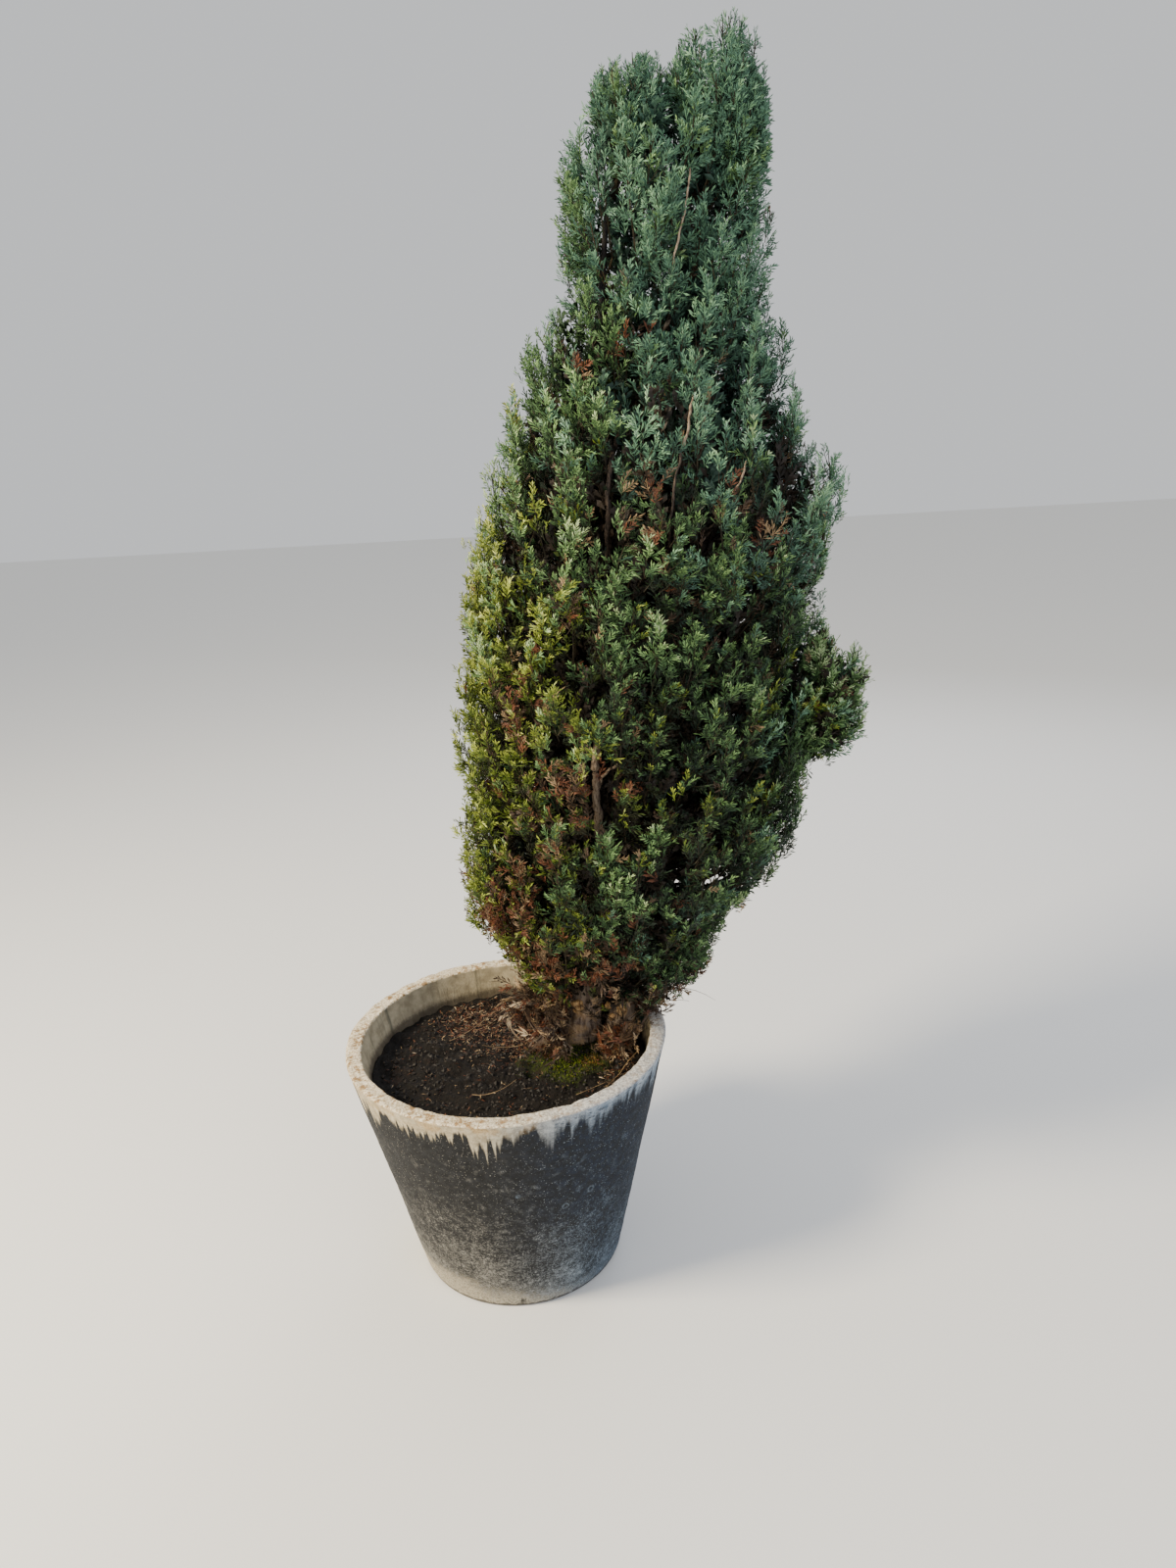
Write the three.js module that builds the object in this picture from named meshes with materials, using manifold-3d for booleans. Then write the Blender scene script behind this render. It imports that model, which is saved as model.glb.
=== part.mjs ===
// A conifer in a tapered pot, in millimetres, with +Z up. The origin is on the ground under the
// middle of the pot, +X is to the viewer's right and +Y is away from the viewer. Two stems rise
// from the soil and lean to the right through a ragged column of foliage. The foliage is split
// into masses that each keep to their own space, and each mass is a dense core that toothed
// sprays stand out of.

import * as THREE from "three";
import { mergeVertices } from "three/addons/utils/BufferGeometryUtils.js";
import Module from "manifold-3d";

const wasm = await Module();
wasm.setup();

// Gap between solids that touch on the real plant
const CLEAR = 0.3;

// Pot and soil
const POT_HEIGHT = 475;
const POT_FOOT_RADIUS = 197;
const POT_RIM_RADIUS = 306;
const POT_WALL = 30;
const POT_FLOOR = 35;
const POT_EDGE_ROUND = 5;
const POT_SIDES = 48;
const SOIL_LEVEL = 415;

// Stems: the route of each axis from the soil to its tip, its radius at shares of its length, as
// [share, radius], and the flare at its foot. A thick foot narrows quickly to a slender stem.
const STEM_SIDES = 10;
const STEM_RINGS = 15;
const FLARE_HEIGHT = 45;
const STEMS = {
  left: {
    route: [
      [146, 60, SOIL_LEVEL],
      [161, 62, 560],
      [190, 68, 830],
      [224, 70, 1170],
      [250, 73, 1480],
      [247, 75, 1750],
      [262, 78, 1900],
    ],
    girth: [[0, 34], [0.07, 29], [0.18, 16], [0.36, 11.5], [0.66, 8.5], [0.88, 6.5], [1, 4]],
    flare: 5,
  },
  right: {
    route: [
      [216, 52, SOIL_LEVEL],
      [230, 55, 480],
      [262, 60, 590],
      [302, 65, 870],
      [336, 68, 1190],
      [364, 70, 1470],
      [386, 72, 1610],
      [372, 75, 1790],
      [394, 78, 1900],
    ],
    girth: [[0, 24], [0.07, 20], [0.18, 12], [0.36, 8.5], [0.66, 6.5], [0.88, 5], [1, 4]],
    flare: 4,
  },
};

// Boughs
const BOUGH_SIDES = 5;
const BOUGH_RINGS = 4;
const BOUGH_SHARE = 0.7;
const BOUGH_MOST_RADIUS = 10;
const BOUGH_TIP_RADIUS = 4;
const BOUGH_RISE = 0.75;
const BOUGH_SAG = 0.18;
const BOUGH_ENTRY = 8;
const BOUGH_SHORTEST = 22;

// Crown: the furthest reach to the left and to the right at each height, as [height, x], and
// its depth from front to back as a share of its width
const CROWN_MIDDLE_Y = 80;
const CROWN_BOTTOM = 430;
const CROWN_TOP = 2060;
const LEFT_REACH = [
  [CROWN_BOTTOM, 112],
  [550, 45],
  [635, -7],
  [730, -74],
  [875, -67],
  [1045, -51],
  [1085, -63],
  [1190, -38],
  [1350, -20],
  [1440, 15],
  [1510, 42],
  [1660, 84],
  [1740, 141],
  [1790, 172],
  [1990, 184],
  [CROWN_TOP, 236],
];
const RIGHT_REACH = [
  [CROWN_BOTTOM, 268],
  [490, 305],
  [560, 400],
  [660, 435],
  [720, 465],
  [800, 550],
  [900, 580],
  [1220, 603],
  [1360, 617],
  [1480, 650],
  [1565, 588],
  [1660, 557],
  [1790, 526],
  [1990, 522],
  [CROWN_TOP, 514],
];
const DEPTH_SHARE = [
  [1500, 0.88],
  [CROWN_TOP, 0.6],
];

// Tiers of masses round the stems: the height of their middles, and the bearing of each mass
const TIER_SPREAD = 0.56;
const SIX_SIDES = {
  right: 0,
  back_right: 60,
  back_left: 120,
  left: 180,
  front_left: 240,
  front_right: 300,
};
const FOUR_SIDES = { right: 0, back: 90, left: 180, front: 270 };
const TIERS = [
  { name: "skirt", height: 665, sides: FOUR_SIDES, turn: 8 },
  { name: "low", height: 905, sides: SIX_SIDES, turn: -6 },
  { name: "middle", height: 1165, sides: SIX_SIDES, turn: 4 },
  { name: "upper", height: 1430, sides: SIX_SIDES, turn: -8 },
  { name: "high", height: 1695, sides: FOUR_SIDES, turn: 10 },
];

// Masses at the top, and the rounded blocks by which three masses stand out of the column
const TOP_MASSES = {
  left_plume: [218, 80, 1880],
  left_leader: [300, 80, 1965],
  right_leader: [437, 80, 1965],
};
const BLOCKS = {
  low_right: { middle: [590, 66, 1098], radii: [104, 92, 122] },
  left_leader: { middle: [305, 80, 2000], radii: [72, 76, 124] },
  right_leader: { middle: [440, 80, 2000], radii: [80, 84, 168] },
};
const BLOCK_ROUNDNESS = 2.6;

// The space of a mass: heights count less than distances across, and a gap parts neighbours
const HEIGHT_WEIGHT = 0.62;
const WALL_RISE = 1.5;
const SPACE_GAP = 1.2;
const MARCH_STEP = 3;
const FURTHEST = 420;

// Cores
const CORE_SHARE_OF_SPACE = 0.94;
const CORE_SHARE_OF_CROWN = 0.72;
const CORE_VARIATION = 0.1;

// Sprays stand in rows round the crown, and each leans out from the surface as it rises
const SPRAY_FIRST_ROW = 545;
const SPRAY_ROW_RISE = 82;
const SPRAY_SPACING = 84;
const SPRAYS_ON_A_BLOCK = 16;
const SPRAY_LENGTH = 170;
const SPRAY_LENGTH_AT_TOP = 130;
const SPRAY_LEAN = THREE.MathUtils.degToRad(27);
const SPRAY_HALF_WIDTH = 0.21;
const SPRAY_HALF_THICKNESS = 0.06;
const SPRAY_FITS = [
  [1, 0],
  [1, -0.15],
  [1, 0.12],
  [0.85, 0],
  [0.85, -0.25],
  [0.85, 0.12],
  [0.7, 0],
  [0.7, -0.3],
  [0.7, 0.12],
  [0.58, 0],
];
const SPRAY_SETBACKS = [-0.03, 0, 0.07];
const SPRAY_WAIST = 0.48;
const SPRAY_ROLL = 1.5;
const SLOPE_SPAN = 60;
const LIMB_MARGIN = 4;
const POT_MARGIN = 8;
const TWIG_RADIUS = 2.5;
const GOLDEN_ANGLE = Math.PI * (3 - Math.sqrt(5));

// One side of a spray from its root, as [distance along it, share of its half width]
const SPRAY_SIDE = [
  [0, 0.2],
  [0.36, 1],
  [0.45, 0.62],
  [0.72, 0.72],
];

const UP = new THREE.Vector3(0, 0, 1);

const FINISH = {
  pot: { color: 0x3a4246, roughness: 0.85, metalness: 0 },
  soil: { color: 0x2e231a, roughness: 0.95, metalness: 0 },
  bark: { color: 0x7c6650, roughness: 0.85, metalness: 0 },
  skirt: { color: 0x4d4a26, roughness: 0.8, metalness: 0 },
  sunny: { color: 0x55662c, roughness: 0.75, metalness: 0 },
  green: { color: 0x3c5436, roughness: 0.75, metalness: 0 },
  shaded: { color: 0x2c453c, roughness: 0.75, metalness: 0 },
};

// Numbers from 0 to 1 in a fixed order for each seed
function randomStream(seed) {
  let state = seed;
  return () => {
    state = (state * 16807) % 2147483647;
    return state / 2147483647;
  };
}

function interpolate(stations, height) {
  const last = stations.length - 1;
  if (height <= stations[0][0]) return stations[0][1];
  if (height >= stations[last][0]) return stations[last][1];
  const upper = stations.findIndex((station) => station[0] > height);
  const [z0, x0] = stations[upper - 1];
  const [z1, x1] = stations[upper];
  return THREE.MathUtils.mapLinear(height, z0, z1, x0, x1);
}

// Solids from meshes and back
function toSolid(geometry) {
  const bare = geometry.clone();
  bare.deleteAttribute("normal");
  bare.deleteAttribute("uv");
  const merged = mergeVertices(bare, 1e-4);
  return new wasm.Manifold(
    new wasm.Mesh({
      numProp: 3,
      vertProperties: new Float32Array(merged.attributes.position.array),
      triVerts: new Uint32Array(merged.index.array),
    }),
  );
}

function toGeometry(solid) {
  const mesh = solid.getMesh();
  const geometry = new THREE.BufferGeometry();
  geometry.setAttribute("position", new THREE.BufferAttribute(mesh.vertProperties, 3));
  geometry.setIndex(new THREE.BufferAttribute(mesh.triVerts, 1));
  geometry.computeVertexNormals();
  return geometry;
}

function indexedGeometry(positions, faces) {
  const geometry = new THREE.BufferGeometry();
  geometry.setAttribute("position", new THREE.Float32BufferAttribute(positions, 3));
  geometry.setIndex(faces);
  return geometry;
}

// The largest closed piece of a solid, without loose scraps or sealed hollows
function mainPiece(solid) {
  const pieces = solid.decompose();
  return pieces.reduce((best, piece) => (piece.volume() > best.volume() ? piece : best));
}

// A tapering limb: rings of points along a curve, closed by a fan at each end. Growing it makes
// the space that its neighbours keep clear of.
function limbSolid(limb, grow = 0) {
  const { curve, radiusAt, sides, rings, flatFoot } = limb;
  const frames = curve.computeFrenetFrames(rings, false);
  const outset = grow / Math.cos(Math.PI / sides);
  const positions = [];
  const faces = [];
  for (let ring = 0; ring <= rings; ring += 1) {
    const centre = curve.getPointAt(ring / rings);
    if (ring === 0) centre.addScaledVector(frames.tangents[0], -grow);
    if (ring === rings) centre.addScaledVector(frames.tangents[rings], grow);
    const radius = radiusAt(ring / rings) + outset;
    for (let side = 0; side < sides; side += 1) {
      const angle = (side / sides) * 2 * Math.PI;
      const point = centre
        .clone()
        .addScaledVector(frames.normals[ring], radius * Math.cos(angle))
        .addScaledVector(frames.binormals[ring], radius * Math.sin(angle));
      if (flatFoot && ring === 0) point.z = centre.z;
      positions.push(point.x, point.y, point.z);
    }
  }
  for (let ring = 0; ring < rings; ring += 1) {
    for (let side = 0; side < sides; side += 1) {
      const next = (side + 1) % sides;
      const low = ring * sides;
      const high = low + sides;
      faces.push(low + side, low + next, high + next);
      faces.push(low + side, high + next, high + side);
    }
  }
  for (let side = 1; side < sides - 1; side += 1) {
    const top = rings * sides;
    faces.push(0, side + 1, side);
    faces.push(top, top + side, top + side + 1);
  }
  return toSolid(indexedGeometry(positions, faces));
}

// Points down the middle of a limb with its radius, for keeping sprays off it
function limbSamples(limb) {
  const count = Math.ceil(limb.curve.getLength() / 12);
  return Array.from({ length: count + 1 }, (unused, k) => ({
    point: limb.curve.getPointAt(k / count),
    radius: limb.radiusAt(k / count),
  }));
}

// Pot: a straight tapered wall with a flat rim whose edges are rounded
function potGeometry() {
  const slope = (POT_RIM_RADIUS - POT_FOOT_RADIUS) / POT_HEIGHT;
  const round = POT_EDGE_ROUND;
  const innerFloor = POT_FOOT_RADIUS + slope * POT_FLOOR - POT_WALL;
  const innerRim = POT_RIM_RADIUS - POT_WALL;
  const profile = new THREE.Path();
  profile.moveTo(0, 0);
  profile.lineTo(POT_FOOT_RADIUS - round, 0);
  profile.quadraticCurveTo(POT_FOOT_RADIUS, 0, POT_FOOT_RADIUS + slope * round, round);
  profile.lineTo(POT_RIM_RADIUS - slope * round, POT_HEIGHT - round);
  profile.quadraticCurveTo(POT_RIM_RADIUS, POT_HEIGHT, POT_RIM_RADIUS - round, POT_HEIGHT);
  profile.lineTo(innerRim + round, POT_HEIGHT);
  profile.quadraticCurveTo(innerRim, POT_HEIGHT, innerRim - slope * round, POT_HEIGHT - round);
  profile.lineTo(innerFloor, POT_FLOOR);
  profile.lineTo(0, POT_FLOOR);
  return new THREE.LatheGeometry(profile.getPoints(2), POT_SIDES).rotateX(Math.PI / 2);
}

// Soil: it fills the pot from the floor up to a flat top a little below the rim
function soilGeometry() {
  const slope = (POT_RIM_RADIUS - POT_FOOT_RADIUS) / POT_HEIGHT;
  const innerRadius = (height) => POT_FOOT_RADIUS + slope * height - POT_WALL - 2 * CLEAR;
  const bottom = POT_FLOOR + CLEAR;
  const top = SOIL_LEVEL - CLEAR;
  const profile = new THREE.Path();
  profile.moveTo(0, bottom);
  profile.lineTo(innerRadius(bottom), bottom);
  profile.lineTo(innerRadius(top), top);
  profile.lineTo(0, top);
  return new THREE.LatheGeometry(profile.getPoints(1), POT_SIDES).rotateX(Math.PI / 2);
}

// Stems
function makeStem(sizes) {
  const curve = new THREE.CatmullRomCurve3(sizes.route.map((point) => new THREE.Vector3(...point)));
  const length = curve.getLength();
  const radiusAt = (share) => {
    const flare = sizes.flare * Math.exp((-share * length) / FLARE_HEIGHT);
    return interpolate(sizes.girth, share) + flare;
  };
  return { curve, radiusAt, sides: STEM_SIDES, rings: STEM_RINGS, flatFoot: true };
}

const stems = { left: makeStem(STEMS.left), right: makeStem(STEMS.right) };

// The share of a stem's length at which it passes a height
function shareAtHeight(stem, height) {
  let low = 0;
  let high = 1;
  for (let k = 0; k < 30; k += 1) {
    const middle = (low + high) / 2;
    if (stem.curve.getPointAt(middle).z < height) low = middle;
    else high = middle;
  }
  return low;
}

// Crown: at each height an ellipse between the furthest reaches to the left and right
function crownAt(height) {
  const left = interpolate(LEFT_REACH, height);
  const right = interpolate(RIGHT_REACH, height);
  const halfWidth = (right - left) / 2;
  return {
    x: (left + right) / 2,
    halfWidth,
    halfDepth: halfWidth * interpolate(DEPTH_SHARE, height),
  };
}

// A point of the crown at a height and bearing, at its outside where the share is 1
function crownPoint(height, bearing, share = 1) {
  const { x, halfWidth, halfDepth } = crownAt(height);
  return new THREE.Vector3(
    x + share * halfWidth * Math.cos(bearing),
    CROWN_MIDDLE_Y + share * halfDepth * Math.sin(bearing),
    height,
  );
}

function insideCrown(point) {
  if (point.z < CROWN_BOTTOM || point.z > CROWN_TOP) return false;
  const { x, halfWidth, halfDepth } = crownAt(point.z);
  return Math.hypot((point.x - x) / halfWidth, (point.y - CROWN_MIDDLE_Y) / halfDepth) < 1;
}

function insideBlock(point, block) {
  const terms = point
    .toArray()
    .map((place, axis) => Math.abs((place - block.middle[axis]) / block.radii[axis]));
  return terms.reduce((sum, term) => sum + term ** BLOCK_ROUNDNESS, 0) < 1;
}

// Masses and their spaces
const masses = [];
for (const { name, height, sides, turn } of TIERS) {
  for (const [side, bearing] of Object.entries(sides)) {
    const angle = THREE.MathUtils.degToRad(bearing + turn);
    masses.push({ name: `${name}_${side}`, middle: crownPoint(height, angle, TIER_SPREAD) });
  }
}
for (const [name, middle] of Object.entries(TOP_MASSES)) {
  masses.push({ name, middle: new THREE.Vector3(...middle) });
}
masses.forEach((mass, index) => {
  mass.block = BLOCKS[mass.name];
  mass.random = randomStream(101 + 37 * index);
  mass.sprays = [];
});

// The plane halfway between two masses, facing the first one. Where one mass is above the other
// the plane rises outwards, so that the lower one's tips stand in front of the upper one's foot.
function planeBetween(mass, other) {
  const halfway = mass.middle.clone().add(other.middle).multiplyScalar(0.5);
  const { x, halfWidth, halfDepth } = crownAt(halfway.z);
  const normal = mass.middle.clone().sub(other.middle);
  normal.z *= HEIGHT_WEIGHT ** 2;
  normal.x -= (WALL_RISE * normal.z * (halfway.x - x)) / halfWidth;
  normal.y -= (WALL_RISE * normal.z * (halfway.y - CROWN_MIDDLE_Y)) / halfDepth;
  return new THREE.Plane().setFromNormalAndCoplanarPoint(normal.normalize(), halfway);
}

for (const mass of masses) {
  const others = masses.filter((other) => other !== mass);
  mass.walls = others.map((other) => planeBetween(mass, other));
}

function insideSpace(point, mass, margin = SPACE_GAP) {
  return mass.walls.every((wall) => wall.distanceToPoint(point) > margin);
}

// How far it is from a mass's middle to the edge of its space in one direction
function spaceAlong(mass, direction) {
  const distances = mass.walls.map((wall) => {
    const closing = -wall.normal.dot(direction);
    return closing > 0 ? (wall.distanceToPoint(mass.middle) - SPACE_GAP) / closing : FURTHEST;
  });
  return Math.min(...distances);
}

// How far it is from a mass's middle to the outside of the crown in one direction
function crownAlong(mass, direction) {
  const point = mass.middle.clone();
  let distance = 0;
  while (distance < FURTHEST) {
    point.addScaledVector(direction, MARCH_STEP);
    if (!insideCrown(point) && !(mass.block && insideBlock(point, mass.block))) break;
    distance += MARCH_STEP;
  }
  return distance;
}

// Boughs: from a stem out to the edge of a mass's space, where the mass's own stem goes on
function nearestStem(point) {
  const distance = (stem) => {
    const passing = stem.curve.getPointAt(shareAtHeight(stem, point.z));
    return Math.hypot(passing.x - point.x, passing.y - point.y);
  };
  return distance(stems.left) < distance(stems.right) ? stems.left : stems.right;
}

function attachMass(mass) {
  const stem = nearestStem(mass.middle);
  const beside = stem.curve.getPointAt(shareAtHeight(stem, mass.middle.z));
  const across = Math.hypot(beside.x - mass.middle.x, beside.y - mass.middle.y);
  const height = Math.max(mass.middle.z - BOUGH_RISE * across, SOIL_LEVEL + 80);
  const share = shareAtHeight(stem, height);
  const start = stem.curve.getPointAt(share);
  const bend = start.clone().lerp(mass.middle, 0.5);
  bend.z -= BOUGH_SAG * start.distanceTo(mass.middle);
  const whole = new THREE.QuadraticBezierCurve3(start, bend, mass.middle);
  const isShort = (t) => {
    const point = whole.getPoint(t);
    const length = point.distanceTo(start) - stem.radiusAt(share);
    return !insideSpace(point, mass, BOUGH_ENTRY) || length < BOUGH_SHORTEST;
  };
  let entry = 0;
  if (!insideSpace(start, mass, BOUGH_ENTRY)) {
    while (entry < 0.9 && isShort(entry)) entry += 0.01;
  }
  mass.stemCurve = partOfCurve(whole, entry, 1);
  if (entry === 0) return;
  const radius = BOUGH_SHARE * stem.radiusAt(share);
  const baseRadius = THREE.MathUtils.clamp(radius, BOUGH_TIP_RADIUS, BOUGH_MOST_RADIUS);
  mass.bough = {
    curve: partOfCurve(whole, 0, entry),
    radiusAt: (t) => THREE.MathUtils.lerp(baseRadius, BOUGH_TIP_RADIUS, t),
    sides: BOUGH_SIDES,
    rings: BOUGH_RINGS,
  };
}

function partOfCurve(curve, from, to) {
  const points = [];
  for (let k = 0; k <= BOUGH_RINGS; k += 1) {
    points.push(curve.getPoint(THREE.MathUtils.lerp(from, to, k / BOUGH_RINGS)));
  }
  return new THREE.CatmullRomCurve3(points);
}

masses.forEach(attachMass);
const limbs = [stems.left, stems.right, ...masses.flatMap((mass) => mass.bough ?? [])];
const samples = limbs.flatMap(limbSamples);
const limbSpace = limbs.map((limb) => limbSolid(limb, CLEAR)).reduce((all, one) => all.add(one));

function touchesLimb(point) {
  return samples.some((sample) => sample.point.distanceTo(point) < sample.radius + LIMB_MARGIN);
}

function touchesPot(point) {
  const nearWall = Math.hypot(point.x, point.y) > POT_RIM_RADIUS - POT_WALL - POT_MARGIN;
  return nearWall && point.z < POT_HEIGHT + POT_MARGIN;
}

// Core: a rough ball drawn out to a share of the mass's reach in every direction
function coreSolid(mass) {
  const geometry = new THREE.IcosahedronGeometry(1, 1);
  geometry.deleteAttribute("normal");
  geometry.deleteAttribute("uv");
  const ball = mergeVertices(geometry, 1e-3);
  const place = ball.attributes.position;
  const point = new THREE.Vector3();
  for (let k = 0; k < place.count; k += 1) {
    point.fromBufferAttribute(place, k).normalize();
    const share = CORE_SHARE_OF_CROWN - CORE_VARIATION * mass.random();
    const radius = Math.min(
      CORE_SHARE_OF_SPACE * spaceAlong(mass, point),
      share * crownAlong(mass, point),
    );
    point.multiplyScalar(radius).add(mass.middle);
    place.setXYZ(k, point.x, point.y, point.z);
  }
  return toSolid(ball);
}

// Spray: a flat toothed blade, thick in the middle and thin at its edges
function sprayPoints(tip, along, across, length) {
  const root = tip.clone().addScaledVector(along, -length);
  const halfWidth = length * SPRAY_HALF_WIDTH;
  const at = (share, width) =>
    root.clone().addScaledVector(along, share * length).addScaledVector(across, width * halfWidth);
  const rightSide = SPRAY_SIDE.map(([share, width]) => at(share, width));
  const leftSide = SPRAY_SIDE.map(([share, width]) => at(share, -width)).reverse();
  return [...rightSide, tip.clone(), ...leftSide];
}

function spraySolid(outline, waist, facing, halfThickness) {
  const front = waist.clone().addScaledVector(facing, halfThickness);
  const back = waist.clone().addScaledVector(facing, -halfThickness);
  const positions = [...outline, front, back].flatMap((point) => point.toArray());
  const faces = [];
  for (let k = 0; k < outline.length; k += 1) {
    const next = (k + 1) % outline.length;
    faces.push(k, next, outline.length);
    faces.push(next, k, outline.length + 1);
  }
  return toSolid(indexedGeometry(positions, faces));
}

// Plants a spray with its tip at a point, in the mass whose space holds it. A spray that would
// leave that space is slid along or made smaller, and one that doesn't fit or touches a limb is
// skipped.
function plantSpray(tip, along, outward, random) {
  const roll = (random() - 0.5) * SPRAY_ROLL;
  const level = new THREE.Vector3().crossVectors(along, outward).normalize();
  const across = level.applyAxisAngle(along, roll);
  const facing = new THREE.Vector3().crossVectors(across, along).normalize();
  const fullLength = THREE.MathUtils.mapLinear(
    THREE.MathUtils.clamp(tip.z, 1500, CROWN_TOP),
    1500,
    CROWN_TOP,
    SPRAY_LENGTH,
    SPRAY_LENGTH_AT_TOP,
  );
  const middle = tip.clone().addScaledVector(along, (SPRAY_WAIST - 1) * fullLength);
  const mass = masses.find((candidate) => insideSpace(middle, candidate));
  if (!mass) return;
  for (const [shrink, slide] of SPRAY_FITS) {
    const length = fullLength * shrink;
    const placed = tip.clone().addScaledVector(along, slide * fullLength);
    const outline = sprayPoints(placed, along, across, length);
    const waist = placed.clone().addScaledVector(along, (SPRAY_WAIST - 1) * length);
    const fits = outline.every((point) => insideSpace(point, mass));
    const clear = ![...outline, waist].some((point) => touchesLimb(point) || touchesPot(point));
    if (fits && clear) {
      mass.sprays.push(spraySolid(outline, waist, facing, length * SPRAY_HALF_THICKNESS));
      return;
    }
  }
}

// Rows of sprays round the crown
function plantCrown() {
  const random = randomStream(7);
  let row = 0;
  for (let height = SPRAY_FIRST_ROW; height <= CROWN_TOP; height += SPRAY_ROW_RISE) {
    const { halfWidth, halfDepth } = crownAt(height);
    const count = Math.round((Math.PI * (halfWidth + halfDepth)) / SPRAY_SPACING);
    for (let k = 0; k < count; k += 1) {
      const bearing = ((k + 0.5 * (row % 2) + 0.4 * (random() - 0.5)) / count) * 2 * Math.PI;
      const share = 1 - SPRAY_SETBACKS[k % SPRAY_SETBACKS.length];
      const tipHeight = height + 0.5 * SPRAY_ROW_RISE * (random() - 0.5);
      const below = crownPoint(tipHeight - SLOPE_SPAN, bearing);
      const above = crownPoint(tipHeight + SLOPE_SPAN, bearing);
      const rising = above.sub(below).normalize();
      const outward = new THREE.Vector3(Math.cos(bearing), Math.sin(bearing), 0);
      const along = rising
        .multiplyScalar(Math.cos(SPRAY_LEAN))
        .addScaledVector(outward, Math.sin(SPRAY_LEAN))
        .normalize();
      plantSpray(crownPoint(tipHeight, bearing, share), along, outward, random);
    }
    row += 1;
  }
}

// Sprays round a block of its own, by the golden angle from its top down
function plantBlock(mass) {
  for (let k = 0; k < SPRAYS_ON_A_BLOCK; k += 1) {
    const rise = 1 - (1.6 * (k + 0.3)) / SPRAYS_ON_A_BLOCK;
    const level = Math.sqrt(1 - rise * rise);
    const bearing = k * GOLDEN_ANGLE;
    const outward = new THREE.Vector3(level * Math.cos(bearing), level * Math.sin(bearing), rise);
    const tip = new THREE.Vector3(...mass.block.middle);
    while (insideBlock(tip, mass.block)) tip.addScaledVector(outward, MARCH_STEP);
    if (insideCrown(tip) || !insideSpace(tip, mass)) continue;
    const along = outward.clone().setZ(Math.max(rise, 0)).addScaledVector(UP, 0.8).normalize();
    const sideways = outward.clone().setZ(0).addScaledVector(UP, -0.2).normalize();
    plantSpray(tip, along, sideways, mass.random);
  }
}

function massSolid(mass) {
  const stem = {
    curve: mass.stemCurve,
    radiusAt: (t) => THREE.MathUtils.lerp(BOUGH_TIP_RADIUS, TWIG_RADIUS, t),
    sides: 5,
    rings: 3,
  };
  const parts = [coreSolid(mass), limbSolid(stem), ...mass.sprays];
  const whole = parts.reduce((joined, part) => joined.add(part));
  return mainPiece(whole.subtract(limbSpace));
}

plantCrown();
masses.filter((mass) => mass.block).forEach(plantBlock);

// Assembly
const plant = new THREE.Group();

function addPiece(name, geometry, finish) {
  const piece = new THREE.Mesh(geometry, new THREE.MeshStandardMaterial(FINISH[finish]));
  piece.name = name;
  plant.add(piece);
}

function finishOf(mass) {
  if (mass.name.startsWith("skirt")) return "skirt";
  const { x, halfWidth } = crownAt(mass.middle.z);
  const across = (mass.middle.x - x) / halfWidth;
  if (across < -0.25) return "sunny";
  return across < 0.25 ? "green" : "shaded";
}

addPiece("pot", potGeometry(), "pot");
addPiece("soil", soilGeometry(), "soil");
addPiece("stem_left", toGeometry(limbSolid(stems.left)), "bark");
addPiece("stem_right", toGeometry(limbSolid(stems.right)), "bark");

const stemSpace = limbSolid(stems.left, CLEAR).add(limbSolid(stems.right, CLEAR));
for (const mass of masses) {
  if (!mass.bough) continue;
  const bough = mainPiece(limbSolid(mass.bough).subtract(stemSpace));
  addPiece(`bough_${mass.name}`, toGeometry(bough), "bark");
}
for (const mass of masses) {
  addPiece(`foliage_${mass.name}`, toGeometry(massSolid(mass)), finishOf(mass));
}

export default plant;
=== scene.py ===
# %% [markdown]
# # A potted conifer
# A cypress with soft, feathery foliage leans out of a weathered concrete pot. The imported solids
# are plain: a pot, soil, two stems, boughs, and foliage as toothed blades. Here each gets its real
# surface, in metres, with the origin on the ground under the pot, +X to the viewer's right and +Y
# away from the viewer.

# %% Load the frame
import math
from collections import namedtuple

import bpy
import numpy as np
from mathutils import Matrix, Vector


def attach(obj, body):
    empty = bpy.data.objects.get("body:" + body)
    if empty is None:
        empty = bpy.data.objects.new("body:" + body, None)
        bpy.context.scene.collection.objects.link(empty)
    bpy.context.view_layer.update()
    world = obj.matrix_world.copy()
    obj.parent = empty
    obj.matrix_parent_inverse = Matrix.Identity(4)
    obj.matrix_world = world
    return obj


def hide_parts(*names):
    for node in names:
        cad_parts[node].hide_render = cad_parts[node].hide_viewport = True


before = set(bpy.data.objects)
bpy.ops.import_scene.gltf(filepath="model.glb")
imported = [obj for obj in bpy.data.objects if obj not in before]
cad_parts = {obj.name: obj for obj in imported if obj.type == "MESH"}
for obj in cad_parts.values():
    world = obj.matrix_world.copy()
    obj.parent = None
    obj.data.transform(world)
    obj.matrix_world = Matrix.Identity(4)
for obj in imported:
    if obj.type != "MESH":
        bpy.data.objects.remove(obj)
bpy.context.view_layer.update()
print(len(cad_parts), "nodes")

# %% [markdown]
# ## Sizes
# These are the sizes that the solids were made from. They could be read back from the solids' own
# points, but a few named sizes say more. The crown is an ellipse at each height, between a reach
# to the left and one to the right, and the stems follow smooth routes from the soil up.

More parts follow.
